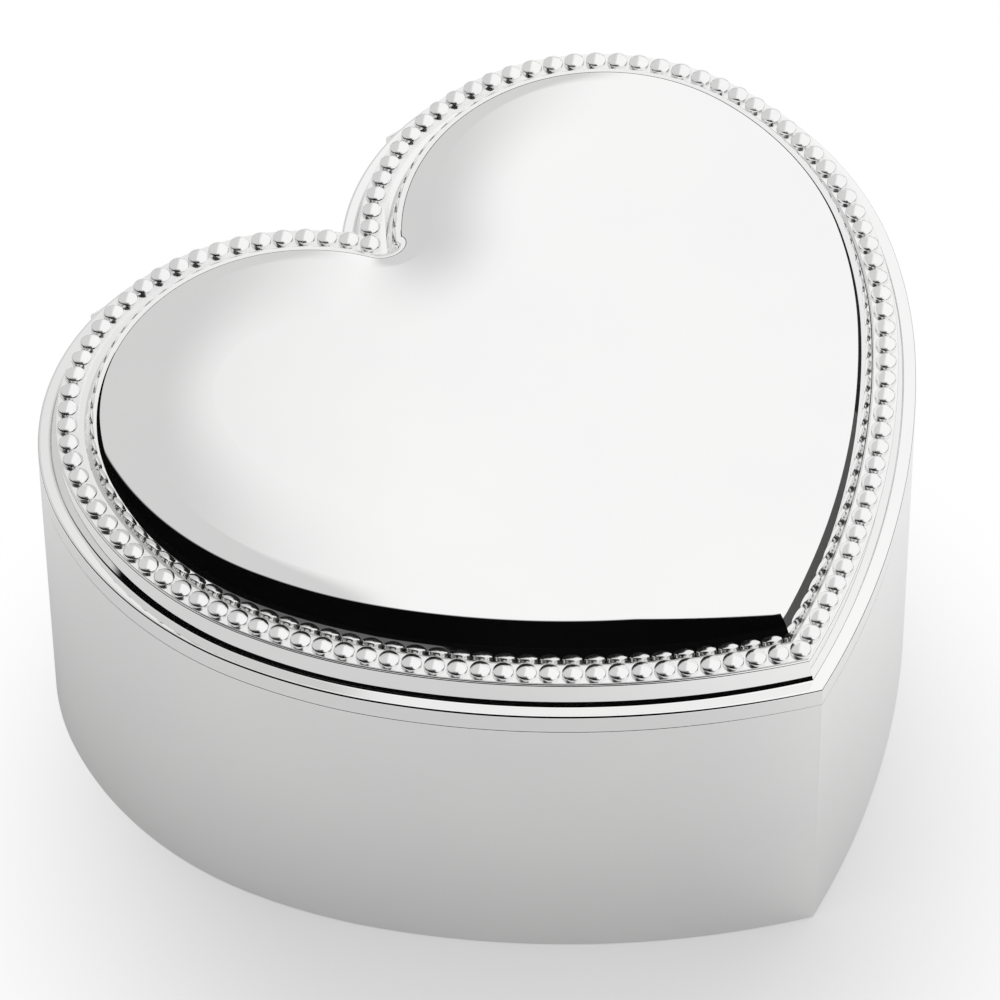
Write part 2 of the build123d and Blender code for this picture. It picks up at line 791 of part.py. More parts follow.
def cylinder_wheel():
    """Spur wheel on the cylinder's arbor that drives the governor."""
    tip = wheel_pitch + 0.8 * wheel_module
    root = wheel_pitch - 1.2 * wheel_module
    face = gear_face(wheel_teeth, tip, root, wheel_pitch, 0.36, -governor_drop_angle)
    x = (wheel_x_place, wheel_x_place + wheel_face)
    return wheel_x(face, x, cylinder_y, cylinder_z, cylinder_arbor_radius)


def bearing_post(x):
    """Post on the bedplate that holds one end of the cylinder's arbor."""
    limits = (x, x + bearing_thickness)
    y = (cylinder_y - bearing_half_width, cylinder_y + bearing_half_width)
    post = block(limits, y, (bedplate_top, cylinder_z + bearing_head))
    return post - rod_x(cylinder_arbor_radius + running_clearance, limits, cylinder_y, cylinder_z)


def tone_comb():
    """Steel comb: a row of tuned teeth whose tips stand at the pins."""
    front, roots, tips = comb_limits()
    z = (cylinder_z - comb_thickness / 2, cylinder_z + comb_thickness / 2)
    comb = block((cylinder_x, cylinder_x + cylinder_length), (front, tips), z)
    first = cylinder_x + (cylinder_length - note_count * note_pitch) / 2
    slots = []
    for note in range(note_count + 1):
        share = note / note_count
        length = comb_long_tooth + (comb_short_tooth - comb_long_tooth) * share
        x = first + note * note_pitch
        slots.append(block((x - comb_slot / 2, x + comb_slot / 2), (tips - length, tips), z))
    comb = comb.cut(*slots)
    for x, y in comb_screw_places():
        comb -= rod_z(screw_hole, z, x, y)
    return largest_solid(comb)


def largest_solid(shape):
    """The main solid of a shape, without loose slivers."""
    return shape.solids().sort_by(SortBy.VOLUME)[-1]


def comb_screws():
    """Screws that hold the comb to its land."""
    seat = cylinder_z + comb_thickness / 2
    depth = comb_thickness + 2 * screw_radius
    return Compound(children=[screw(x, y, seat, depth, False) for x, y in comb_screw_places()])


def governor_bracket():
    """Bent bracket with two cheeks for the governor arbor and an arm over the fly."""
    near_cheek = right_bearing_x + bearing_thickness - bracket_sheet
    foot_top = bedplate_top + bracket_foot
    mast_y = worm_y + fly_radius + side_gap
    x = (near_cheek, far_cheek_x + bracket_sheet)
    frame = block(x, (governor_y - bracket_cheek_half_width, mast_y + bracket_sheet), (bedplate_top, foot_top))
    cheek_y = (governor_y - bracket_cheek_half_width, governor_y + bracket_cheek_half_width)
    for cheek in (near_cheek, far_cheek_x):
        frame += block((cheek, cheek + bracket_sheet), cheek_y, (bedplate_top, governor_z + bracket_cheek_half_width))
    mast_x = (worm_x - bracket_cheek_half_width, worm_x + bracket_cheek_half_width)
    arm_top = tray_height - side_gap
    frame += block(mast_x, (mast_y, mast_y + bracket_sheet), (bedplate_top, arm_top))
    frame += block(mast_x, (worm_y - bracket_cheek_half_width, mast_y + bracket_sheet), (arm_top - bracket_sheet, arm_top))
    frame -= rod_x(governor_arbor_radius + running_clearance, x, governor_y, governor_z)
    sweep_x = (worm_wheel_x - side_gap / 2, worm_wheel_x + worm_wheel_face + side_gap / 2)
    frame -= rod_x(worm_wheel_tip + side_gap, sweep_x, governor_y, governor_z)
    pivot = worm_pivot_radius + running_clearance
    frame -= rod_z(pivot, (bedplate_top + bracket_foot / 2, foot_top), worm_x, worm_y)
    return frame - rod_z(pivot, (arm_top - bracket_sheet, arm_top), worm_x, worm_y)


def governor_arbor():
    """Arbor between the cheeks."""
    x = (wheel_x_place, far_cheek_x + bracket_sheet)
    return rod_x(governor_arbor_radius, x, governor_y, governor_z)


def governor_pinion():
    """Pinion that the cylinder wheel drives."""
    tip = governor_pinion_pitch + 0.8 * wheel_module
    root = governor_pinion_pitch - 1.2 * wheel_module
    turn = 180 - governor_drop_angle + 180 / governor_pinion_teeth
    face = gear_face(governor_pinion_teeth, tip, root, governor_pinion_pitch, 0.34, turn)
    x = (wheel_x_place, wheel_x_place + wheel_face)
    return wheel_x(face, x, governor_y, governor_z, governor_arbor_radius)


def governor_wheel():
    """Wheel that drives the worm."""
    root = worm_wheel_pitch - 1.5 * worm_module
    face = gear_face(worm_wheel_teeth, worm_wheel_tip, root, worm_wheel_pitch, 0.28, 0)
    x = (worm_wheel_x, worm_wheel_x + worm_wheel_face)
    return wheel_x(face, x, governor_y, governor_z, governor_arbor_radius)


def worm_shaft():
    """Upright worm with its pivots."""
    lower = bedplate_top + bracket_foot
    upper = tray_height - side_gap - bracket_sheet
    core = rod_z(worm_core_radius, (lower + running_clearance, upper - running_clearance), worm_x, worm_y)
    core += rod_z(worm_pivot_radius, (lower - bracket_foot / 2 + running_clearance, upper + bracket_sheet), worm_x, worm_y)
    height = worm_lead * worm_thread_turns
    radius = worm_pitch_radius - (worm_pitch_radius - worm_core_radius) / 4
    coil = Helix(worm_lead, height, radius)
    section = Plane(coil @ 0, z_dir=coil % 0) * Circle(worm_thread_radius)
    thread = sweep(section, coil)
    return core + Pos(worm_x, worm_y, governor_z - height / 2) * Rot(0, 0, 90) * thread


def governor_fly():
    """Air brake on the worm: two thin vanes on a hub."""
    hub = rod_z(fly_hub_radius, (fly_bottom, fly_top), worm_x, worm_y)
    x = (worm_x - fly_radius, worm_x + fly_radius)
    y = (worm_y - fly_thickness / 2, worm_y + fly_thickness / 2)
    hub += block(x, y, (fly_bottom, fly_top))
    return hub - rod_z(worm_core_radius, (fly_bottom, fly_top), worm_x, worm_y)


def plunger_bush():
    """Flanged bush in the false floor that guides the plunger."""
    bush = rod_z(bush_radius, (tray_height, tray_top + bush_flange_thickness), plunger_x, worm_y)
    bush += rod_z(bush_flange_radius, (tray_top, tray_top + bush_flange_thickness), plunger_x, worm_y)
    return bush - rod_z(plunger_radius + running_clearance, (tray_height, tray_pad_top), plunger_x, worm_y)


def stop_plunger():
    """Pin that the closed lid holds down."""
    pin = rod_z(plunger_radius, (plunger_foot, plunger_head), plunger_x, worm_y)
    return fillet(pin.edges().group_by(Axis.Z)[-1], plunger_radius / 2)


def stop_lever():
    """Lever between the plunger and the fly, with the brake pad at its short end."""
    y = (worm_y - lever_half_width, worm_y + lever_half_width)
    z = (lever_z - lever_thickness / 2, lever_z + lever_thickness / 2)
    arm = block((stop_pad_x, plunger_x + plunger_radius), y, z)
    arm += block((stop_pad_x, stop_pad_x + stop_pad_width), y, (z[0] - stop_pad_height, z[1]))
    arm += rod_y(lever_thickness, y, lever_x, lever_z)
    return arm - rod_y(lever_pin_radius + running_clearance, y, lever_x, lever_z)


def stop_post():
    """Forked post on the base plate that carries the lever's pin."""
    reach = lever_half_width + running_clearance + lever_post_width
    x = (lever_x - lever_thickness, lever_x + lever_thickness)
    post = block(x, (worm_y - reach, worm_y + reach), (base_top, lever_z + lever_thickness))
    y = (worm_y - lever_half_width - running_clearance, worm_y + lever_half_width + running_clearance)
    post -= block(x, y, (lever_z - lever_pivot_reach, lever_z + lever_thickness))
    foot_x = (lever_x - lever_post_foot, lever_x + lever_post_foot)
    foot_y = (worm_y - lever_post_foot, worm_y + lever_post_foot)
    post += block(foot_x, foot_y, (base_top, base_top + lever_post_width))
    return post - rod_y(lever_pin_radius, (worm_y - reach, worm_y + reach), lever_x, lever_z)


def stop_pin():
    """Pin of the stop lever."""
    reach = lever_half_width + running_clearance + lever_post_width
    return rod_y(lever_pin_radius, (worm_y - reach, worm_y + reach), lever_x, lever_z)


pieces = {
    "body_shell": body_shell,
    "base_plate": base_plate,
    "base_felt": base_felt,
    "base_screws": base_screws,
    "inner_tray": inner_tray,
    "tray_lining": tray_lining,
    "wall_lining": wall_lining,
    "lid_shell": lid_shell,
    "lid_lining": lid_lining,
    "bead_border": bead_border,
    "body_hinge_leaves": body_hinge_leaves,
    "lid_hinge_leaves": lid_hinge_leaves,
    "hinge_pins": hinge_pins,
    "movement_bedplate": movement_bedplate,
    "movement_screws": movement_screws,
    "spring_barrel": spring_barrel,
    "crown_wheel": crown_wheel,
    "mainspring": mainspring,
    "winding_arbor": winding_arbor,
    "winding_key": winding_key,
    "cylinder_pinion": cylinder_pinion,
    "cylinder_arbor": cylinder_arbor,
    "pinned_cylinder": pinned_cylinder,
    "cylinder_wheel": cylinder_wheel,
    "left_bearing_post": lambda: bearing_post(bearing_x),
    "right_bearing_post": lambda: bearing_post(right_bearing_x),
    "tone_comb": tone_comb,
    "comb_screws": comb_screws,
    "governor_bracket": governor_bracket,
    "governor_arbor": governor_arbor,
    "governor_pinion": governor_pinion,
    "governor_wheel": governor_wheel,
    "worm_shaft": worm_shaft,
    "governor_fly": governor_fly,
    "plunger_bush": plunger_bush,
    "stop_plunger": stop_plunger,
    "stop_lever": stop_lever,
    "stop_post": stop_post,
    "stop_pin": stop_pin,
}

os.makedirs("parts", exist_ok=True)
for name, make in pieces.items():
    export_step(make(), f"parts/{name}.step")
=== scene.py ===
"""Heart-shaped wind-up music box: plated case, beaded lid, velvet inside and a cylinder movement."""
import logging
import math
from dataclasses import dataclass, field
from enum import Enum
from typing import ClassVar

import bmesh
import bpy
from mathutils import Matrix, Vector
from mathutils.geometry import delaunay_2d_cdt


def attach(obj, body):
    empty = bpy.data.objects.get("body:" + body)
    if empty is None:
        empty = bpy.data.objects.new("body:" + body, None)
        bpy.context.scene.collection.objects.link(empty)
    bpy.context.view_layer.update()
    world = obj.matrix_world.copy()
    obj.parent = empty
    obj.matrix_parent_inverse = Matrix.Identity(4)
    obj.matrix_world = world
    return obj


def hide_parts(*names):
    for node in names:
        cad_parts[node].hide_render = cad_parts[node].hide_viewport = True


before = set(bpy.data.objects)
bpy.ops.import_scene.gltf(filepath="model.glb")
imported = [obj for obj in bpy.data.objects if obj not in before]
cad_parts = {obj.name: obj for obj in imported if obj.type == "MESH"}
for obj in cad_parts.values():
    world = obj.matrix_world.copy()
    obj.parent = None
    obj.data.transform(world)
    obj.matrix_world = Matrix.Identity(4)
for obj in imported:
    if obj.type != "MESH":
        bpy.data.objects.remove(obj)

LOG = logging.getLogger("music_box")
MM = 0.001
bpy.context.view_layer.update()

# Joining distances in metres: points this near are one, and edges this short are dropped
WELD = 1e-7
SLIVER = 1e-8
# Share of a noise texture's range that carries its contrast
NOISE_SPAN = {"From Min": 0.3, "From Max": 0.7}

Point = tuple[float, float]
Place = tuple[float, float, float]
Ring = list[Place]
Loop = list[bmesh.types.BMVert]


def linear(colour: str) -> tuple[float, float, float, float]:
    """Turn an sRGB hex colour to linear.

    Args:
        colour: Six hex digits.

    Returns:
        Linear red, green, blue and an alpha of 1.
    """
    channels = [int(colour[i:i + 2], 16) / 255 for i in (0, 2, 4)]
    scene = [c / 12.92 if c <= 0.04045 else ((c + 0.055) / 1.055) ** 2.4 for c in channels]
    return scene[0], scene[1], scene[2], 1.0


def add_node(tree: bpy.types.NodeTree, kind: str, settings: dict | None = None,
             links: dict | None = None) -> bpy.types.Node:
    """Add a node with its settings and links.

    Args:
        tree: Node tree that gets the node.
        kind: Blender's name of the node type.
        settings: Input values and properties, by name, or by number for an input.
        links: Output sockets to join to the node's inputs, by input name or number.

    Returns:
        The new node.
    """
    node = tree.nodes.new(kind)
    for name, value in (settings or {}).items():
        if not isinstance(name, int) and hasattr(node, name):
            setattr(node, name, value)
        else:
            node.inputs[name].default_value = value
    for name, source in (links or {}).items():
        tree.links.new(source, node.inputs[name])
    return node


def per_mm(size: float) -> float:
    """Texture scale whose features are about this many millimetres."""
    return 1.0 / (size * MM)


class Grain(Enum):
    """Direction in which a metal was worked, as how fast its lines change along X, Y and Z."""

    EVEN = (1.0, 1.0, 1.0)
    TURNED_X = (1.0, 0.03, 0.03)
    TURNED_Z = (0.03, 0.03, 1.0)
    GROUND_Y = (1.0, 0.04, 1.0)
    ROLLED_X = (0.04, 1.0, 1.0)


@dataclass(frozen=True)
class Finish:
    """A finish: two near colours in soft clouds, a roughness range and a fine relief.

    Attributes:
        name: Name of the material and how it was made.
        light: sRGB colour of the brighter clouds.
        dark: sRGB colour of the darker clouds.
        cloud_mm: Size of the clouds.
        metallic: 1 for bare metal, 0 otherwise.
        roughness: Lowest and highest roughness.
        grain_mm: Spacing of the fine relief.
        relief_mm: Depth of the fine relief.
        grain: Direction of the relief.
        shader: Constant values for other sockets of the shader.
        sheen_tint: sRGB colour of the sheen, for cloth.
    """

    name: str
    light: str
    dark: str
    cloud_mm: float
    metallic: float
    roughness: Point
    grain_mm: float
    relief_mm: float
    grain: Grain = Grain.EVEN
    shader: tuple[tuple[str, float], ...] = ()
    sheen_tint: str | None = None

    def material(self) -> bpy.types.Material:
        """Return the material, made on its first use."""
        made = bpy.data.materials.get(self.name)
        return made or self.build()

    def build(self) -> bpy.types.Material:
        """Make the material's nodes.

        Returns:
            The new material.
        """
        material = bpy.data.materials.new(self.name)
        material.use_nodes = True
        tree = material.node_tree
        tree.nodes.clear()
        place = add_node(tree, "ShaderNodeTexCoord").outputs["Object"]
        lines = add_node(tree, "ShaderNodeMapping", {"Scale": self.grain.value}, {"Vector": place})
        cloud = add_node(tree, "ShaderNodeTexNoise", {"Scale": per_mm(self.cloud_mm), "Detail": 3.0},
                         {"Vector": place}).outputs["Fac"]
        fine = add_node(tree, "ShaderNodeTexNoise", {"Scale": per_mm(self.grain_mm), "Detail": 4.0},
                        {"Vector": lines.outputs["Vector"]}).outputs["Fac"]
        spread = add_node(tree, "ShaderNodeMapRange", NOISE_SPAN, {"Value": cloud})
        shades = {"data_type": "RGBA", 6: linear(self.dark), 7: linear(self.light)}
        colour = add_node(tree, "ShaderNodeMix", shades, {0: spread.outputs[0]})
        smooth, rough = self.roughness
        gloss = add_node(tree, "ShaderNodeMapRange", NOISE_SPAN | {"To Min": smooth, "To Max": rough},
                         {"Value": fine})
        bump = add_node(tree, "ShaderNodeBump", {"Strength": 1.0, "Distance": self.relief_mm * MM},
                        {"Height": fine})
        shader = add_node(tree, "ShaderNodeBsdfPrincipled", {"Metallic": self.metallic} | dict(self.shader), {
            "Base Color": colour.outputs[2], "Roughness": gloss.outputs[0], "Normal": bump.outputs[0]})
        if self.sheen_tint:
            shader.inputs["Sheen Tint"].default_value = linear(self.sheen_tint)
        add_node(tree, "ShaderNodeOutputMaterial", links={"Surface": shader.outputs[0]})
        return material


# Bright nickel on polished pressed sheet: a mirror with a trace of warmth and the faint waves of buffing
SHELL_PLATE = Finish("bright_nickel_plate_buffed", "F8F8F7", "F4F4F4", 30.0, 1.0, (0.02, 0.045), 14.0, 0.0006)
# Bright nickel on a rolled beaded strip: as bright as the shell, a little softer in its dips
BEAD_PLATE = Finish("bright_nickel_plate_beaded", "F8F8F7", "F3F3F3", 6.0, 1.0, (0.16, 0.22), 3.0, 0.0006)
# Nickel on the small hinge and key pieces: rubbed by hands, so slightly hazed
FITTING_PLATE = Finish("nickel_plate_handled", "EFEFED", "E2E2E1", 4.0, 1.0, (0.08, 0.2), 0.8, 0.0008)
# Sheet steel in stoved black lacquer: soft gloss with a fine orange peel
BLACK_LACQUER = Finish("stoved_black_lacquer", "1E1E20", "151517", 9.0, 0.0, (0.32, 0.46), 0.9, 0.004)
# Wool felt, pressed: matt, with tangled fibres
PRESSED_FELT = Finish("pressed_wool_felt", "2C2C31", "1D1D21", 1.6, 0.0, (0.9, 1.0), 0.35, 0.05,
                      shader=(("Sheen Weight", 0.35), ("Sheen Roughness", 0.6)), sheen_tint="8A8A92")
# Rayon velvet with a short pile: deep navy that turns pale along grazing edges and where the pile leans
VELVET = Finish("rayon_velvet_short_pile", "1D2350", "121636", 7.0, 0.0, (0.85, 1.0), 0.3, 0.06,
                shader=(("Sheen Weight", 0.9), ("Sheen Roughness", 0.35)), sheen_tint="7C88D8")
# Zinc alloy, die cast and nickel washed: grey with a fine cast skin
CAST_ZINC = Finish("die_cast_zinc_nickel_washed", "C9C6BF", "AEABA4", 8.0, 1.0, (0.35, 0.55), 0.5, 0.01)
# Brass, turned and left bare: warm yellow with the tool's fine rings
TURNED_BRASS = Finish("turned_brass", "E2BD72", "C99E52", 5.0, 1.0, (0.16, 0.32), 0.25, 0.0015,
                      Grain.TURNED_X)
# Brass, stamped from rolled strip: flat and even, lightly scratched
STAMPED_BRASS = Finish("stamped_brass", "DDB668", "C2964B", 4.0, 1.0, (0.2, 0.36), 0.3, 0.0012,
                       Grain.ROLLED_X)
# Steel, drawn and turned: clean grey with the tool's rings round upright pieces
TURNED_STEEL = Finish("turned_steel", "C4C5C8", "A9ABAF", 3.0, 1.0, (0.18, 0.34), 0.2, 0.0012,
                      Grain.TURNED_Z)
# Steel arbors, turned: the same grey, a little brighter, with rings round pieces that lie along X
TURNED_STEEL_ARBOR = Finish("turned_steel_arbor", "C6C7CA", "ABADB1", 3.0, 1.0, (0.16, 0.3), 0.2, 0.0012,
                            Grain.TURNED_X)
# Comb steel, hardened and ground: cool grey with fine straight lines along the teeth
GROUND_STEEL = Finish("ground_comb_steel", "BEC1C7", "9EA2AA", 4.0, 1.0, (0.2, 0.4), 0.22, 0.002,
                      Grain.GROUND_Y)
# Spring steel, rolled and tempered: dark blue with an even soft shine
BLUED_STEEL = Finish("blued_spring_steel", "5A6788", "3C4764", 3.0, 1.0, (0.22, 0.35), 0.3, 0.001)
# Acetal, moulded: ivory with a silky surface
MOULDED_ACETAL = Finish("moulded_acetal", "EDE8DA", "E3DDCC", 3.0, 0.0, (0.4, 0.5), 0.4, 0.002)


def dress(finish: Finish, *names: str) -> None:
    """Give CAD nodes a finish.

    Args:
        finish: The finish.
        names: Names of the nodes.
    """
    for name in names:
        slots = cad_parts[name].data.materials
        slots.clear()
        slots.append(finish.material())
        LOG.info("dressed %s in %s", name, finish.name)


@dataclass(frozen=True)
class Heart:
    """Heart outline of tangent arcs on each side, in millimetres and degrees.

    Attributes:
        lobe: Radius of the lobe.
        lobe_x: Distance of the lobe's centre from the middle.
        lobe_y: Distance of the lobe's centre toward the hinges.
        shoulder: Radius of the arc after the lobe.
        hip: Radius of the arc after the shoulder.
        flank: Radius of the arc that runs to the tip.
        cleft: Rounding of the cleft, or 0 where it is sharp.
        shoulder_angle: Direction from the lobe's centre in which the shoulder begins.
        hip_angle: Direction in which the hip begins.
        flank_angle: Direction in which the flank begins.
        steps: Number of points on the flank, hip, shoulder, lobe and cleft.
    """

    lobe: float = 29.4
    lobe_x: float = 21.3
    lobe_y: float = 15.593
    shoulder: float = 42.2
    hip: float = 66.0
    flank: float = 100.9
    cleft: float = 0.0
    shoulder_angle: float = 13.6
    hip_angle: float = -25.0
    flank_angle: float = -38.7
    steps: tuple[int, ...] = (60, 20, 44, 84, 16)

    def right_arcs(self, inset: float) -> list[tuple[Vector, float, float, float]]:
        """Return centre, radius, start and end angle of the right side's arcs, from the tip.

        Args:
            inset: Distance inside the outline.

        Returns:
            The flank, hip, shoulder and lobe arcs, and the cleft's arc where it is rounded.
        """
        centre = Vector((self.lobe_x, self.lobe_y))
        radius = self.lobe
        centres = [centre]
        for larger, angle in ((self.shoulder, self.shoulder_angle), (self.hip, self.hip_angle),
                              (self.flank, self.flank_angle)):
            turn = math.radians(angle)
            centre = centre - (larger - radius) * Vector((math.cos(turn), math.sin(turn)))
            radius = larger
            centres.append(centre)
        radii = [r - inset for r in (self.lobe, self.shoulder, self.hip, self.flank)]
        tip = -math.degrees(math.acos(-centres[3].x / radii[3]))
        rise = math.sqrt((self.lobe + self.cleft) ** 2 - self.lobe_x ** 2)
        cleft = math.degrees(math.acos(max(-1.0, -self.lobe_x / radii[0])))
        if self.cleft:
            cleft = math.degrees(math.atan2(rise, -self.lobe_x))
        ends = [cleft, self.shoulder_angle, self.hip_angle, self.flank_angle, tip]
        arcs = [(centres[k], radii[k], ends[k + 1], ends[k]) for k in (3, 2, 1, 0)]
        if self.cleft:
            arcs.append((Vector((0.0, self.lobe_y + rise)), self.cleft + inset, cleft - 180.0, -90.0))
        return arcs

    def half_count(self) -> int:
        """Return the number of points from the tip to the cleft."""
        return sum(self.steps) + 1

    def ring(self, inset: float, height: float) -> Ring:
        """Return points round the heart at an inset and a height.

        Args:
            inset: Distance inside the outline.
            height: Height above the table.

        Returns:
            Points in metres, from the tip round by the right side, with the cleft's point twice.
        """
        right: list[Point] = []
        counts = self.steps if self.cleft else (*self.steps[:3], self.steps[3] + self.steps[4])
        for (centre, radius, start, end), count in zip(self.right_arcs(inset), counts):
            for index in range(count):
                turn = math.radians(start + (end - start) * index / count)
                right.append((centre.x + radius * math.cos(turn), centre.y + radius * math.sin(turn)))
        turn = math.radians(end)
        right.append((max(0.0, centre.x + radius * math.cos(turn)), centre.y + radius * math.sin(turn)))
        left = [(-x, y) for x, y in reversed(right[1:])]
        return [(x * MM, y * MM, height * MM) for x, y in right + left]


BOX = Heart()
RAISED = Heart(lobe=24.55, lobe_y=14.843, shoulder=36.35, hip=60.15, flank=97.05, cleft=0.8)


@dataclass(frozen=True)
class Corner:
    """Corner of a cross-section in millimetres.

    Attributes:
        inset: Distance inside the heart's outline.
        height: Height above the table.
        radius: Its rounding, or 0 where it is sharp.
        heart: Heart that it follows.
        arc_step: Largest angle between the points of a rounding, in degrees.
        arc_least: Smallest number of steps on a rounding.
        flat: Length drawn beside a rounding, which keeps the shading of the flat level.
    """

    inset: float
    height: float
    radius: float = 0.0
    heart: Heart = BOX
    arc_step: ClassVar[float] = 5.0
    arc_least: ClassVar[int] = 6
    flat: ClassVar[float] = 0.03

    def toward(self, other: "Corner") -> Vector:
        """Return the direction to another corner."""
        return Vector((other.inset - self.inset, other.height - self.height)).normalized()

    def stations(self, before: "Corner", after: "Corner") -> list["Corner"]:
        """Return the points that draw this corner.

        Args:
            before: The corner before it.
            after: The corner after it.

        Returns:
            The corner itself where it is sharp, or else its arc and a point on the flat on each side.
        """
        if not self.radius:
            return [self]
        place = Vector((self.inset, self.height))
        back, ahead = self.toward(before), self.toward(after)
        turn = math.pi - back.angle(ahead)
        length = self.radius * math.tan(turn / 2)
        centre = place + (back + ahead).normalized() * self.radius / math.cos(turn / 2)
        start, end = place + back * length - centre, place + ahead * length - centre
        count = max(self.arc_least, math.ceil(math.degrees(turn) / self.arc_step))
        points = [place + back * (length + self.flat)]
        for index in range(count + 1):
            share = index / count
            blend = math.sin((1 - share) * turn) * start + math.sin(share * turn) * end
            points.append(centre + blend / math.sin(turn))
        points.append(place + ahead * (length + self.flat))
        return [Corner(x, y, self.radius, self.heart) for x, y in points]


def circle(place: Point, radius: float, height: float, count: int = 40) -> Ring:
    """Return points on a level circle.

    Args:
        place: Centre in millimetres.
        radius: Radius in millimetres.
        height: Height in millimetres.
        count: Number of points.

    Returns:
        Points in metres.
    """
    turns = [2 * math.pi * index / count for index in range(count)]
    return [((place[0] + radius * math.cos(t)) * MM, (place[1] + radius * math.sin(t)) * MM, height * MM)
            for t in turns]


@dataclass
class Pad:
    """A soft pad or lining that follows the heart's outline.

    Attributes:
        name: Name of the piece.
        node: CAD node that it stands for.
        body: Body that it rides on.
        slot: The record's material slot; not used.
        profile: Cross-section from the back's edge to the front's middle, as (inset, height) in millimetres.
        finish: Its finish.
        fill: How full the pad is, from 0 to 1; not used.
        holes: Centre and radius of each hole.
        hoop: True where the profile is closed and the pad is a strip round the heart.
        heart: Heart that it follows.
        lip: Share of the pad's thickness over which the cloth turns into a hole.
        lip_turn: How far out the middle of that turn lies and how deep, as shares of the lip.
    """

    name: str
    node: str
    body: str
    slot: str
    profile: list[Point]
    finish: Finish
    fill: float
    holes: list[tuple[Point, float]] = field(default_factory=list)
    hoop: bool = False
    heart: Heart = BOX
    lip: ClassVar[float] = 0.15
    lip_turn: ClassVar[Point] = (0.4, 0.25)

    def build(self) -> bpy.types.Object:
        """Make the pad, dress it and set it on its body.

        Returns:
            The new object.
        """
        mesh = bmesh.new()
        rings = [self.add_loop(mesh, self.heart.ring(*corner)) for corner in self.profile]
        pairs = list(zip(rings, rings[1:]))
        if self.hoop:
            pairs.append((rings[-1], rings[0]))
        for lower, upper in pairs:
            self.skin(mesh, lower, upper)
        if not self.hoop:
            self.close(mesh, rings)
        piece = make_piece(self.name, mesh, self.finish, self.node, self.body)
        return piece

    @staticmethod
    def add_loop(mesh: bmesh.types.BMesh, points: Ring) -> Loop:
        """Add a loop of points and return its vertices."""
        return [mesh.verts.new(point) for point in points]

    @staticmethod
    def skin(mesh: bmesh.types.BMesh, lower: Loop, upper: Loop) -> None:
        """Join two loops of the same count with quads."""
        for index, start in enumerate(lower):
            after = (index + 1) % len(lower)
            mesh.faces.new((start, lower[after], upper[after], upper[index]))

    def close(self, mesh: bmesh.types.BMesh, rings: list[Loop]) -> None:
        """Fill the back and the front and line the holes.

        Args:
            mesh: The pad's mesh.
            rings: Loops of the profile, the back's edge first.
        """
        back, front = self.profile[0][1], self.profile[-1][1]
        lip = self.lip * (front - back)
        out, deep = self.lip_turn
        loops = {back: [rings[0]], front: [rings[-1]]}
        for place, radius in self.holes:
            levels = [(radius, back), (radius, front - lip), (radius + abs(lip) * out, front - deep * lip),
                      (radius + abs(lip), front)]
            walls = [self.add_loop(mesh, circle(place, size, height)) for size, height in levels]
            for lower, upper in zip(walls, walls[1:]):
                self.skin(mesh, lower, upper)
            loops[back].append(walls[0])
            loops[front].append(walls[-1])
        for outline, *cuts in loops.values():
            self.cover(mesh, outline, cuts)

    @staticmethod
    def cover(mesh: bmesh.types.BMesh, outline: Loop, cuts: list[Loop]) -> None:
        """Fill a level outline with triangles, apart from the round holes in it.

        Args:
            mesh: The pad's mesh.
            outline: Loop round the outside.
            cuts: Loop of each hole.
        """
        corners, edges, owners = [], [], []
        for owner, loop in enumerate((outline, *cuts)):
            first = len(corners)
            edges += [(first + index, first + (index + 1) % len(loop)) for index in range(len(loop))]
            corners += loop
            owners += [owner] * len(loop)
        flat = [corner.co.xy for corner in corners]
        inside_only, nearness = 1, 1e-9
        _, _, triangles, origins, *_ = delaunay_2d_cdt(flat, edges, [], inside_only, nearness)
        for triangle in triangles:
            chosen = [origins[index][0] for index in triangle]
            if len({owners[index] for index in chosen}) > 1 or owners[chosen[0]] == 0:
                mesh.faces.new([corners[index] for index in chosen])


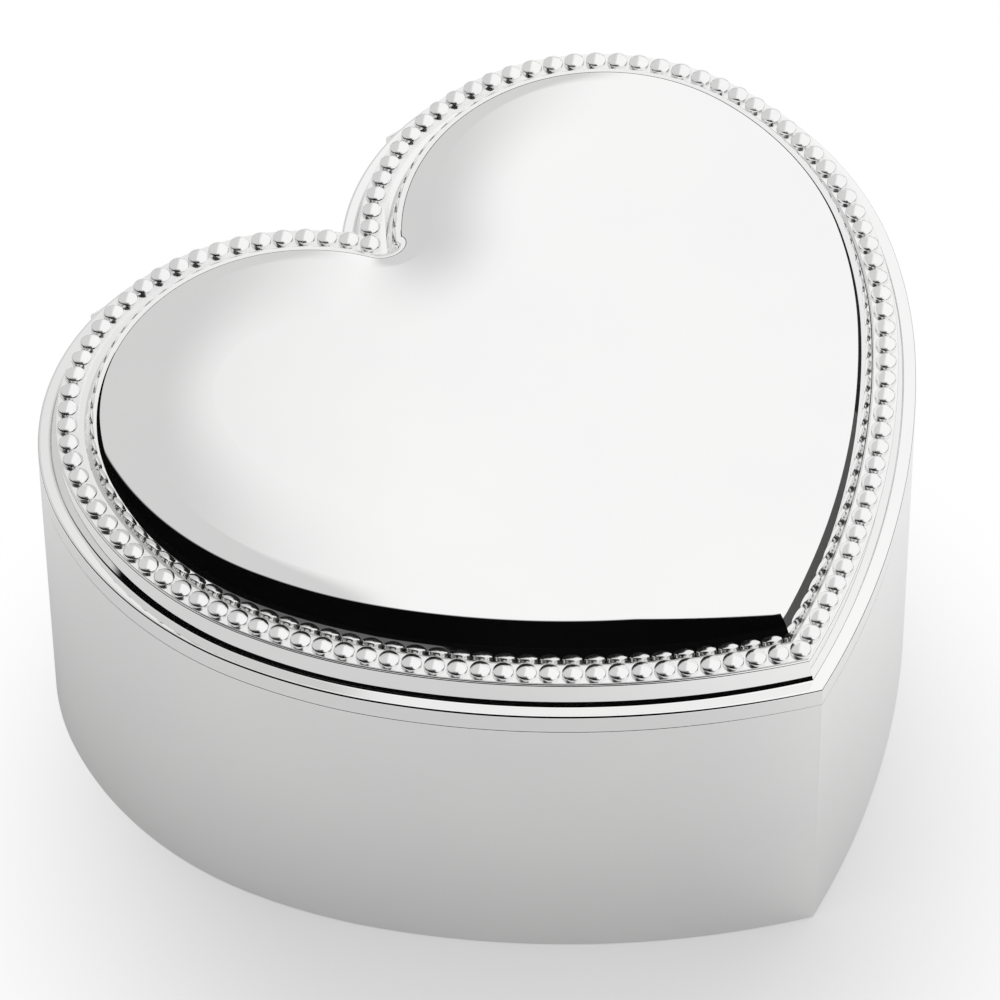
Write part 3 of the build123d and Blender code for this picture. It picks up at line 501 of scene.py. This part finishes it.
@dataclass
class Sheet:
    """A pressed and plated sheet that follows the heart, divided finely so that reflections run clean.

    Attributes:
        name: Name of the piece.
        node: CAD node that it stands for.
        body: Body that it rides on.
        corners: Corners of its cross-section, in order.
        hoop: True where the cross-section closes on itself; otherwise flat hearts close its ends.
        slot: The record's material slot; not used.
    """

    name: str
    node: str
    body: str
    corners: list[Corner]
    hoop: bool
    slot: str = "plated_shell"

    def stations(self) -> list[Corner]:
        """Return the points of the whole cross-section, roundings included."""
        drawn: list[Corner] = []
        last = len(self.corners) - 1
        for index, corner in enumerate(self.corners):
            before = self.corners[index - 1]
            after = self.corners[0 if index == last else index + 1]
            drawn.extend(corner.stations(before, after))
        return drawn

    def build(self) -> bpy.types.Object:
        """Make the sheet, dress it and set it on its body.

        Returns:
            The new object.
        """
        mesh = bmesh.new()
        stations = self.stations()
        rings = [Pad.add_loop(mesh, station.heart.ring(station.inset, station.height))
                 for station in stations]
        pairs = list(zip(range(len(rings)), range(1, len(rings))))
        if self.hoop:
            pairs.append((len(rings) - 1, 0))
        else:
            mesh.faces.new(rings[0])
            mesh.faces.new(rings[-1])
        for lower, upper in pairs:
            Pad.skin(mesh, rings[lower], rings[upper])
            self.crease_ends(mesh, stations[lower].heart, rings[lower], rings[upper])
        for station, ring in zip(stations, rings):
            if not station.radius:
                self.crease_ring(mesh, ring)
        return make_piece(self.name, mesh, SHELL_PLATE, self.node, self.body)

    @staticmethod
    def crease_ends(mesh: bmesh.types.BMesh, heart: Heart, lower: Loop, upper: Loop) -> None:
        """Keep the tip sharp, and the cleft where it isn't rounded.

        Args:
            mesh: The sheet's mesh.
            heart: Heart that the lower loop follows.
            lower: One loop.
            upper: The next loop.
        """
        cleft = heart.half_count() - 1
        for index in (0,) if heart.cleft else (0, cleft, cleft + 1):
            mesh.edges.get((lower[index], upper[index])).smooth = False

    @staticmethod
    def crease_ring(mesh: bmesh.types.BMesh, ring: Loop) -> None:
        """Keep a loop's edge sharp."""
        for start, end in zip(ring, ring[1:] + ring[:1]):
            mesh.edges.get((start, end)).smooth = False


def make_piece(name: str, mesh: bmesh.types.BMesh, finish: Finish, node: str, body: str) -> bpy.types.Object:
    """Clean a mesh and turn it into a smooth, dressed piece on its body.

    Args:
        name: Name of the piece.
        mesh: The mesh, which is freed.
        finish: Its finish.
        node: CAD node that it stands for.
        body: Body that it rides on.

    Returns:
        The new object.
    """
    bmesh.ops.remove_doubles(mesh, verts=mesh.verts, dist=WELD)
    bmesh.ops.dissolve_degenerate(mesh, edges=mesh.edges, dist=SLIVER)
    bmesh.ops.recalc_face_normals(mesh, faces=mesh.faces)
    for face in mesh.faces:
        face.smooth = True
    data = bpy.data.meshes.new(name)
    mesh.to_mesh(data)
    mesh.free()
    data.materials.append(finish.material())
    piece = bpy.data.objects.new(name, data)
    bpy.context.scene.collection.objects.link(piece)
    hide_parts(node)
    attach(piece, body)
    LOG.info("made %s for %s", name, node)
    return piece


@dataclass(frozen=True)
class BeadBorder:
    """Strip of round beads soldered round the raised heart, in millimetres.

    Attributes:
        floor: Height of the level that carries the strip.
        strip: Thickness of the strip.
        margin: How far the strip reaches beyond the beads.
        inset: Inset of the line of beads.
        pitch: Spacing of the beads.
        radius: Radius of a bead.
        height: Height of a bead above the strip.
        crown: Height of its domed top.
        edge: Rounding of the dome's edge.
        root: How far a bead goes down into the strip.
        around: Number of points round a bead.
        edge_steps: Number of steps over the dome's edge.
        dome_steps: Number of steps from there to the peak.
    """

    floor: float = 44.3
    strip: float = 0.3
    margin: float = 0.05
    inset: float = 3.45
    pitch: float = 2.5
    radius: float = 1.15
    height: float = 0.8
    crown: float = 0.4
    edge: float = 0.22
    root: float = 0.1
    around: int = 32
    edge_steps: int = 6
    dome_steps: int = 8

    def build(self) -> bpy.types.Object:
        """Make the strip with its beads, dress it and set it on the lid.

        Returns:
            The new object.
        """
        mesh = bmesh.new()
        reach, top = self.radius + self.margin, self.floor + self.strip
        section = [(self.inset - reach, self.floor), (self.inset - reach, top), (self.inset + reach, top),
                   (self.inset + reach, self.floor)]
        rings = [Pad.add_loop(mesh, BOX.ring(*corner)) for corner in section]
        for lower, upper in zip(rings, rings[1:] + rings[:1]):
            Pad.skin(mesh, lower, upper)
            Sheet.crease_ends(mesh, BOX, lower, upper)
            Sheet.crease_ring(mesh, lower)
        for x, y in self.places():
            for side in (1, -1) if x > self.radius else (1,):
                self.add_bead(mesh, (side * x, y), top)
        return make_piece("bead_border_plated", mesh, BEAD_PLATE, "bead_border", "lid")

    def places(self) -> list[Point]:
        """Return the beads' places on the right side, evenly spaced from the tip to the cleft."""
        arcs = BOX.right_arcs(self.inset)
        lengths = [radius * math.radians(end - start) for _, radius, start, end in arcs]
        count = round(sum(lengths) / self.pitch)
        places: list[Point] = []
        for index in range(count + 1):
            travel = sum(lengths) * index / count
            for (centre, radius, start, _), length in zip(arcs, lengths):
                if travel <= length + 1e-6:
                    turn = math.radians(start) + travel / radius
                    places.append((centre.x + radius * math.cos(turn), centre.y + radius * math.sin(turn)))
                    break
                travel -= length
        return places

    def profile(self) -> list[Point]:
        """Return the bead's outline from its root to its edge and over the dome, as (radius, height)."""
        dome = (self.radius ** 2 + self.crown ** 2) / (2 * self.crown)
        waist = self.radius - self.edge
        low = self.height - dome + math.sqrt((dome - self.edge) ** 2 - waist ** 2)
        tilt = math.asin(waist / (dome - self.edge))
        points = [(self.radius, -self.root), (self.radius, low - Corner.flat)]
        for index in range(self.edge_steps + 1):
            lean = math.pi / 2 + (tilt - math.pi / 2) * index / self.edge_steps
            points.append((waist + self.edge * math.sin(lean), low + self.edge * math.cos(lean)))
        for index in range(1, self.dome_steps):
            lean = tilt * (1 - index / self.dome_steps)
            points.append((dome * math.sin(lean), self.height - dome + dome * math.cos(lean)))
        return points

    def add_bead(self, mesh: bmesh.types.BMesh, place: Point, top: float) -> None:
        """Add one bead.

        Args:
            mesh: The border's mesh.
            place: Centre of the bead.
            top: Height of the strip's upper face.
        """
        rings = [Pad.add_loop(mesh, circle(place, radius, top + height, self.around))
                 for radius, height in self.profile()]
        for lower, upper in zip(rings, rings[1:]):
            Pad.skin(mesh, lower, upper)
        mesh.faces.new(rings[0])
        peak = mesh.verts.new((place[0] * MM, place[1] * MM, (top + self.height) * MM))
        for start, end in zip(rings[-1], rings[-1][1:] + rings[-1][:1]):
            mesh.faces.new((start, end, peak))
        Sheet.crease_ring(mesh, rings[0])


@dataclass
class Lid:
    """Plated lid with its beaded border, hinge leaves and padded lining, in millimetres.

    Attributes:
        seam: Height of the lid's lower edge.
        rim: Height of the flat flange.
        floor: Height of the level that carries the beads.
        brow: Height of the raised heart's edge, before it is rounded.
        crown: Height of the raised heart's flat middle.
        edge_round: Rounding of the rim.
        seam_round: Rounding of the lower edge.
        skirt_wall: Thickness of the skirt.
        sheet: Thickness of the pressed sheet.
        flange: Width of the flange.
        riser_lean: How far the riser leans in.
        riser_rounds: Roundings of the riser's foot and top.
        floor_line: Width of the bead floor that follows the box's outline.
        wall_lean: How far the raised heart's wall leans in.
        shoulder: Rounding of the raised heart's shoulder.
        crown_width: Width of the sloping edge of its top.
        crown_round: Rounding between that edge and the flat middle.
        crown_flat: Width of the flat that the rounding needs.
        lining_edge: Inset of the lining.
        lining_back: Height of the lining's back.
        lining_front: Height of the lining's face.
        lining_roll: Rolled edge, as the inset beyond the lining's own and the depth below its back.
        lining_flat: Inset beyond the lining's own at which its face is level.
    """

    seam: float = 38.9
    rim: float = 41.5
    floor: float = 44.3
    brow: float = 48.8
    crown: float = 49.289
    edge_round: float = 0.3
    seam_round: float = 0.08
    skirt_wall: float = 1.6
    sheet: float = 1.4
    flange: float = 1.45
    riser_lean: float = 0.65
    riser_rounds: Point = (0.3, 0.15)
    floor_line: float = 1.9
    wall_lean: float = 1.8181
    shoulder: float = 5.0
    crown_width: float = 8.0
    crown_round: float = 150.0
    crown_flat: float = 5.0
    lining_edge: float = 3.7
    lining_back: float = 42.7
    lining_front: float = 40.7
    lining_roll: tuple[Point, ...] = ((0.1, 0.0), (0.0, 0.2), (0.0, 0.7), (0.12, 1.1), (0.4, 1.4),
                                      (0.9, 1.62), (1.7, 1.8), (2.6, 1.92), (3.4, 1.98))
    lining_flat: float = 4.0

    def build(self) -> None:
        """Make the sheet and the lining and dress the lid."""
        Sheet("lid_pressed_sheet", "lid_shell", "lid", self.inside() + self.outside(), False).build()
        edge = self.lining_edge
        profile = [(edge + inset, self.lining_back - depth) for inset, depth in self.lining_roll]
        profile.append((edge + self.lining_flat, self.lining_front))
        Pad("lid_lining_velvet", "lid_lining", "lid", "velvet", profile, VELVET, 0.6).build()
        BeadBorder().build()
        dress(FITTING_PLATE, "lid_hinge_leaves")

    def inside(self) -> list[Corner]:
        """Return the hollow's corners, from its middle down to the seam."""
        sheet, roof, shelf = self.sheet, self.floor - self.sheet, self.rim - self.sheet
        riser_top = self.flange + self.riser_lean
        return [
            *reversed(self.raised(sheet)), Corner(sheet, roof, 0.0, RAISED),
            Corner(riser_top + sheet, roof), Corner(self.flange + sheet, shelf),
            Corner(self.skirt_wall, shelf), Corner(self.skirt_wall, self.seam),
        ]

    def outside(self) -> list[Corner]:
        """Return the outside's corners, from the seam up to the middle of the raised heart."""
        riser_top = self.flange + self.riser_lean
        return [
            Corner(0.0, self.seam, self.seam_round), Corner(0.0, self.rim, self.edge_round),
            Corner(self.flange, self.rim, self.riser_rounds[0]),
            Corner(riser_top, self.floor, self.riser_rounds[1]),
            Corner(riser_top + self.floor_line, self.floor),
            Corner(0.0, self.floor, 0.0, RAISED), *self.raised(0.0),
        ]

    def raised(self, skin: float) -> list[Corner]:
        """Return the corners of the raised heart above its foot.

        Args:
            skin: Distance inside the outer face.

        Returns:
            The shoulder, the edge of the crown and the end of its flat.
        """
        edge = skin + self.wall_lean
        inner = edge + self.crown_width
        return [
            Corner(edge, self.brow - skin, self.shoulder - skin, RAISED),
            Corner(inner, self.crown - skin, self.crown_round, RAISED),
            Corner(inner + self.crown_flat, self.crown - skin, 0.0, RAISED),
        ]


@dataclass
class Case:
    """Plated box with its bottom, tray, linings and hinge leaves, in millimetres.

    Attributes:
        seam: Height of the wall's upper edge.
        edge_round: Rounding of the foot.
        seam_round: Rounding of the upper edge.
        wall: Thickness of the wall.
        tray_ledge: Inset of the tray's ledge and the heights of its top, its lower edge and its foot.
        base_ledge: Inset of the base plate's ledge and the heights of its top and its lower face.
        tray_top: Height of the false floor.
        pad_top: Height of the pad's face.
        pad_edge: Inset of the pad.
        pad_roll: Rolled edge, as the inset beyond the pad's own and the height above the floor.
        pad_flat: Inset beyond the pad's own at which its face is level.
        strip_outer: Inset of the wall strip's back.
        strip_inner: Inset of its face.
        strip_top: Height of its top.
        strip_back: Roll at the back of its top, as the inset beyond the back and the depth below the top.
        strip_face: Roll at the face, as the distance behind the face and the depth below the top.
        strip_bulge: Height above its middle at which the face stands out most.
        strip_foot: Lower part of the face, as the distance behind it and the height above the floor.
        felt_edge: Inset of the felt.
        felt_back: Height of the felt's glued face.
        felt_front: Height of its open face.
        felt_roll: Its cut edge, as the inset beyond the felt's own and the height above its open face.
        plunger: Place of the stop plunger.
        plunger_hole: Radius of the hole round it.
        arbor: Place of the winding arbor.
        arbor_hole: Radius of the hole round it.
        screws: Places of the movement's screws.
        screw_hole: Radius of the holes round them.
    """

    seam: float = 38.9
    edge_round: float = 0.3
    seam_round: float = 0.08
    wall: float = 1.8
    tray_ledge: tuple[float, float, float, float] = (3.4, 28.2, 27.0, 25.4)
    base_ledge: tuple[float, float, float] = (5.2, 10.2, 8.2)
    tray_top: float = 29.4
    pad_top: float = 31.6
    pad_edge: float = 3.0
    pad_roll: tuple[Point, ...] = ((0.1, 0.0), (0.0, 0.25), (0.0, 0.8), (0.12, 1.2), (0.4, 1.55), (0.9, 1.8),
                                   (1.7, 1.97), (2.9, 2.1))
    pad_flat: float = 4.2
    strip_outer: float = 1.92
    strip_inner: float = 2.9
    strip_top: float = 37.9
    strip_back: tuple[Point, ...] = ((0.0, 0.45), (0.12, 0.15), (0.45, 0.0))
    strip_face: tuple[Point, ...] = ((0.2, 0.12), (0.05, 0.45), (0.06, 1.2))
    strip_bulge: float = 0.6
    strip_foot: tuple[Point, ...] = ((0.05, 2.6), (0.1, 0.0))
    felt_edge: float = 6.2
    felt_back: float = 7.0
    felt_front: float = 6.2
    felt_roll: tuple[Point, ...] = ((0.0, 0.25), (0.08, 0.1), (0.3, 0.0))
    plunger: Point = (39.01, 16.638)
    plunger_hole: float = 2.9
    arbor: Point = (-12.0, 4.0)
    arbor_hole: float = 3.6
    screws: tuple[Point, ...] = ((-22.0, -17.5), (26.5, -17.5), (-22.0, 19.5))
    screw_hole: float = 2.7

    def build(self) -> None:
        """Make the wall, the linings and the felt, and dress the box."""
        Sheet("case_pressed_wall", "body_shell", "case", self.wall_section(), True).build()
        self.tray_pad().build()
        self.wall_strip().build()
        self.felt().build()
        dress(FITTING_PLATE, "body_hinge_leaves", "hinge_pins")
        dress(BLACK_LACQUER, "base_plate", "inner_tray")
        dress(TURNED_STEEL, "base_screws", "movement_screws")

    def wall_section(self) -> list[Corner]:
        """Return the corners of the wall with its tray ledge and base ledge."""
        wall, edge, seam = self.wall, self.edge_round, self.seam_round
        tray_inset, tray_top, tray_low, tray_foot = self.tray_ledge
        base_inset, base_top, base_low = self.base_ledge
        return [
            Corner(0.0, 0.0, edge), Corner(0.0, self.seam, seam), Corner(wall, self.seam, seam),
            Corner(wall, tray_top), Corner(tray_inset, tray_top), Corner(tray_inset, tray_low),
            Corner(wall, tray_foot), Corner(wall, base_top), Corner(base_inset, base_top),
            Corner(base_inset, base_low), Corner(wall, base_low), Corner(wall, 0.0),
        ]

    def tray_pad(self) -> Pad:
        """Return the pad on the false floor, crowned along its edge."""
        edge = self.pad_edge
        profile = [(edge + inset, self.tray_top + height) for inset, height in self.pad_roll]
        profile.append((edge + self.pad_flat, self.pad_top))
        holes = [(self.plunger, self.plunger_hole)]
        return Pad("tray_pad_velvet", "tray_lining", "case", "velvet", profile, VELVET, 0.5, holes)

    def wall_strip(self) -> Pad:
        """Return the strip round the inside of the wall, rolled over at its top."""
        outer, inner, low, top = self.strip_outer, self.strip_inner, self.tray_top, self.strip_top
        profile = [(outer, low)]
        profile += [(outer + inset, top - depth) for inset, depth in self.strip_back]
        profile += [(inner - behind, top - depth) for behind, depth in self.strip_face]
        profile.append((inner, (low + top) / 2 + self.strip_bulge))
        profile += [(inner - behind, low + height) for behind, height in self.strip_foot]
        return Pad("wall_strip_velvet", "wall_lining", "case", "velvet", profile, VELVET, 0.4, hoop=True)

    def felt(self) -> Pad:
        """Return the felt under the base plate, cut out for the key and the screws."""
        edge = self.felt_edge
        profile = [(edge, self.felt_back)]
        profile += [(edge + inset, self.felt_front + height) for inset, height in self.felt_roll]
        holes = [(self.arbor, self.arbor_hole)] + [(place, self.screw_hole) for place in self.screws]
        return Pad("base_felt_sheet", "base_felt", "case", "felt", profile, PRESSED_FELT, 0.9, holes)


@dataclass(frozen=True)
class Movement:
    """Key, spring barrel, cylinder, comb, governor and lid stop."""

    def build(self) -> None:
        """Dress each piece of the movement."""
        dress(FITTING_PLATE, "winding_key")
        dress(CAST_ZINC, "movement_bedplate")
        dress(TURNED_BRASS, "pinned_cylinder", "cylinder_pinion", "plunger_bush")
        dress(STAMPED_BRASS, "crown_wheel", "cylinder_wheel", "left_bearing_post", "right_bearing_post",
              "governor_pinion", "governor_wheel", "stop_post")
        dress(TURNED_STEEL, "spring_barrel", "governor_bracket", "winding_arbor", "worm_shaft",
              "stop_plunger", "stop_lever", "comb_screws", "stop_pin")
        dress(TURNED_STEEL_ARBOR, "cylinder_arbor", "governor_arbor")
        dress(GROUND_STEEL, "tone_comb")
        dress(BLUED_STEEL, "mainspring")
        dress(MOULDED_ACETAL, "governor_fly")


@dataclass(frozen=True)
class Studio:
    """White table, white tent with its dark opening, one soft lamp and the camera.

    Attributes:
        camera_place: Camera position in metres.
        camera_axes: Camera's right, down and forward directions.
        near: Distance in metres from which the camera sees.
        lens: Focal length in millimetres.
        sensor: Sensor width in millimetres.
        opening: Planes that bound the tent's dark opening: the direction that each faces, and the cosines
            of the angles from it at which the opening has gone and is dark.
        side: Direction of the tent's grey side, level with the table.
        side_edge: Cosines of the angles from it at which the grey has gone and is full.
        side_colour: sRGB colour of the grey side.
        tent_colour: sRGB colour of the rest of the tent.
        opening_colour: sRGB colour of the opening.
        flag_distance: Distance of the dark flags from the middle, in metres.
        flag_step: Largest angle between a flag's points, in degrees.
        flags: For each flag, its colour and its directions in degrees, each with the heights of its edges in
            metres.
        floor_colour: sRGB colour of the table.
        floor_size: Half width of the table in metres.
        floor_drop: Gap in metres that keeps the table clear of the foot.
        fades: How the table turns white for each kind of ray: the share of white near the box, the point
            from which it grows, the distances at which it begins to grow and stops, and the share there.
        lamp_place: Lamp position in metres.
        lamp_size: Lamp's width in metres.
        lamp_radiance: Brightness of the lamp's face against white.
    """

    camera_place: Place = (-0.35169, -0.43500, 0.71150)
    camera_axes: tuple[Place, ...] = (
        (0.778400, -0.627742, -0.005738), (-0.488586, -0.600056, -0.633417), (0.394179, 0.495855, -0.773790))
    near: float = 0.01
    lens: float = 283.4
    sensor: float = 36.0
    opening: tuple[tuple[Place, Point], ...] = (
        ((-0.448, -0.6399, -0.6243), (-0.41, -0.35)), ((-0.9317, 0.2671, -0.2462), (-0.208, -0.196)))
    side: Place = (-0.6428, 0.7660, 0.0)
    side_edge: Point = (0.125, 0.235)
    side_colour: str = "D8D8D8"
    tent_colour: str = "FFFFFF"
    opening_colour: str = "060606"
    flag_distance: float = 0.15
    flag_step: float = 5.0
    flags: tuple[tuple[str, tuple[Place, ...]], ...] = (
        ("0C0C0C", ((100.0, 0.043, 0.048), (125.0, 0.03, 0.055), (150.0, 0.022, 0.055), (180.0, 0.03, 0.055),
                    (205.0, 0.036, 0.055), (230.0, 0.022, 0.055), (272.0, 0.022, 0.055))),
        ("6C6C6C", ((150.0, 0.021, 0.022), (180.0, 0.022, 0.03), (205.0, 0.022, 0.036),
                    (230.0, 0.021, 0.022))),
        ("5C5C5C", ((290.0, 0.0, 0.06), (325.0, 0.0, 0.058), (345.0, 0.03, 0.054))),
        ("2A2A2A", ((345.0, 0.03, 0.054), (380.0, 0.044, 0.05), (460.0, 0.0465, 0.05))))
    floor_colour: str = "D1D1D1"
    floor_size: float = 3.0
    floor_drop: float = 0.00002
    fades: tuple[tuple[str, float, Place, Point, float], ...] = (
        ("Is Camera Ray", 0.34, (-0.02, -0.02, 0.0), (0.025, 0.075), 1.0),
        ("Is Glossy Ray", 0.0, (-0.07, -0.02, 0.0), (0.06, 0.14), 0.7),
        ("Is Transmission Ray", 0.0, (-0.07, -0.02, 0.0), (0.06, 0.14), 0.7))
    lamp_place: Place = (0.12, 0.15, 0.9)
    lamp_size: float = 0.8
    lamp_radiance: float = 0.5

    def build(self) -> None:
        """Set up the table, the tent, the lamp and the camera."""
        self.build_camera()
        self.build_floor()
        self.build_flags()
        self.build_tent()
        self.build_lamp()
        bpy.context.scene.view_settings.view_transform = "Standard"

    def build_camera(self) -> None:
        """Place the camera where the photograph was taken from."""
        data = bpy.data.cameras.new("camera")
        data.lens = self.lens
        data.sensor_width = self.sensor
        data.clip_start = self.near
        camera = bpy.data.objects.new("camera", data)
        right, down, ahead = (Vector(axis).normalized() for axis in self.camera_axes)
        turn = Matrix((right, -down, -ahead)).transposed()
        camera.matrix_world = Matrix.Translation(self.camera_place) @ turn.to_4x4()
        bpy.context.scene.collection.objects.link(camera)
        bpy.context.scene.camera = camera

    def build_floor(self) -> None:
        """Make the table: white paper that keeps the shadow and fades to plain white."""
        mesh = bmesh.new()
        bmesh.ops.create_grid(mesh, x_segments=4, y_segments=4, size=self.floor_size)
        floor, tree = self.stand("table", mesh, "matt_white_paper")
        floor.location.z = -self.floor_drop
        place = add_node(tree, "ShaderNodeTexCoord").outputs["Object"]
        rays = add_node(tree, "ShaderNodeLightPath").outputs
        look = add_node(tree, "ShaderNodeBsdfDiffuse", {"Color": linear(self.floor_colour)}).outputs[0]
        white = add_node(tree, "ShaderNodeEmission", {"Strength": 1.0}).outputs[0]
        for ray, near, middle, (start, end), far in self.fades:
            reach = add_node(tree, "ShaderNodeVectorMath", {"operation": "DISTANCE", 1: middle}, {0: place})
            fade = add_node(tree, "ShaderNodeMapRange", {
                "interpolation_type": "SMOOTHSTEP", "From Min": start, "From Max": end, "To Min": near,
                "To Max": far}, {"Value": reach.outputs["Value"]})
            share = add_node(tree, "ShaderNodeMath", {"operation": "MULTIPLY"},
                             {0: fade.outputs[0], 1: rays[ray]})
            look = add_node(tree, "ShaderNodeMixShader",
                            links={0: share.outputs[0], 1: look, 2: white}).outputs[0]
        add_node(tree, "ShaderNodeOutputMaterial", links={"Surface": look})

    @staticmethod
    def stand(name: str, mesh: bmesh.types.BMesh, look: str) -> tuple[bpy.types.Object, bpy.types.NodeTree]:
        """Turn a mesh into a piece of the stage.

        Args:
            name: Name of the object.
            mesh: The mesh, which is freed.
            look: Name of its material.

        Returns:
            The new object and the empty node tree of its material.
        """
        data = bpy.data.meshes.new(name)
        mesh.to_mesh(data)
        mesh.free()
        piece = bpy.data.objects.new(name, data)
        bpy.context.scene.collection.objects.link(piece)
        material = bpy.data.materials.new(look)
        material.use_nodes = True
        data.materials.append(material)
        material.node_tree.nodes.clear()
        return piece, material.node_tree

    def build_flags(self) -> None:
        """Hang dark flags round the table, for the dark lines in the metal's reflections."""
        for number, (colour, stations) in enumerate(self.flags):
            mesh = bmesh.new()
            for (first, *lows), (last, *highs) in zip(stations, stations[1:]):
                count = math.ceil((last - first) / self.flag_step)
                posts: list[Loop] = []
                for index in range(count + 1):
                    share = index / count
                    turn = math.radians(first + (last - first) * share)
                    foot = Vector((math.cos(turn), math.sin(turn), 0.0)) * self.flag_distance
                    levels = [start + (end - start) * share for start, end in zip(lows, highs)]
                    posts.append([mesh.verts.new(foot + Vector((0.0, 0.0, level))) for level in levels])
                for (low, high), (next_low, next_high) in zip(posts, posts[1:]):
                    mesh.faces.new((low, next_low, next_high, high))
            flag, tree = self.stand(f"dark_flag_{number}", mesh, f"matt_cloth_{number}")
            for ray in ("camera", "diffuse", "shadow"):
                setattr(flag, f"visible_{ray}", False)
            cloth = add_node(tree, "ShaderNodeBsdfDiffuse", {"Color": linear(colour)})
            add_node(tree, "ShaderNodeOutputMaterial", links={"Surface": cloth.outputs[0]})

    def build_tent(self) -> None:
        """Make the white surroundings with the dark opening that the camera looks through."""
        world = bpy.data.worlds.new("light_tent")
        bpy.context.scene.world = world
        world.use_nodes = True
        tree = world.node_tree
        tree.nodes.clear()
        toward = add_node(tree, "ShaderNodeTexCoord").outputs["Generated"]
        shiny = add_node(tree, "ShaderNodeLightPath").outputs["Is Glossy Ray"]
        dark = shiny
        for middle, edge in self.opening:
            dark = self.within(tree, toward, middle, edge, dark)
        grey = self.within(tree, toward, self.side, self.side_edge, shiny)
        cloth = add_node(tree, "ShaderNodeMix", {"data_type": "RGBA", 6: linear(self.tent_colour),
                         7: linear(self.side_colour)}, {0: grey}).outputs[2]
        colour = add_node(tree, "ShaderNodeMix", {"data_type": "RGBA", 7: linear(self.opening_colour)},
                          {0: dark, 6: cloth}).outputs[2]
        shine = add_node(tree, "ShaderNodeBackground", {"Strength": 1.0}, {"Color": colour})
        add_node(tree, "ShaderNodeOutputWorld", links={"Surface": shine.outputs[0]})

    @staticmethod
    def within(tree: bpy.types.NodeTree, toward: bpy.types.NodeSocket, middle: Place, edge: Point,
               share: bpy.types.NodeSocket) -> bpy.types.NodeSocket:
        """Keep a share only on one side of a plane.

        Args:
            tree: The world's nodes.
            toward: Direction that is looked in.
            middle: Direction that the plane faces.
            edge: Cosines of the angles from it at which the share has gone and is kept.
            share: The share so far.

        Returns:
            The share that is left.
        """
        facing = add_node(tree, "ShaderNodeVectorMath", {"operation": "DOT_PRODUCT", 1: middle}, {0: toward})
        kept = add_node(tree, "ShaderNodeMapRange", {"interpolation_type": "SMOOTHSTEP", "From Min": edge[0],
                        "From Max": edge[1]}, {"Value": facing.outputs["Value"]}).outputs[0]
        return add_node(tree, "ShaderNodeMath", {"operation": "MULTIPLY"}, {0: kept, 1: share}).outputs[0]

    def build_lamp(self) -> None:
        """Hang one large soft lamp over the table."""
        data = bpy.data.lights.new("soft_lamp", "AREA")
        data.shape = "SQUARE"
        data.size = self.lamp_size
        data.energy = self.lamp_radiance * math.pi * self.lamp_size ** 2
        lamp = bpy.data.objects.new("soft_lamp", data)
        lamp.location = self.lamp_place
        lamp.rotation_euler = (-Vector(self.lamp_place)).to_track_quat("-Z", "Y").to_euler()
        lamp.visible_camera = False
        lamp.visible_glossy = False
        bpy.context.scene.collection.objects.link(lamp)


def main() -> None:
    """Build the studio and each sub-assembly in order."""
    logging.basicConfig(level=logging.INFO)
    for assembly in (Studio(), Lid(), Case(), Movement()):
        assembly.build()
        LOG.info("built %s", type(assembly).__name__)


if __name__ == "__main__":
    main()
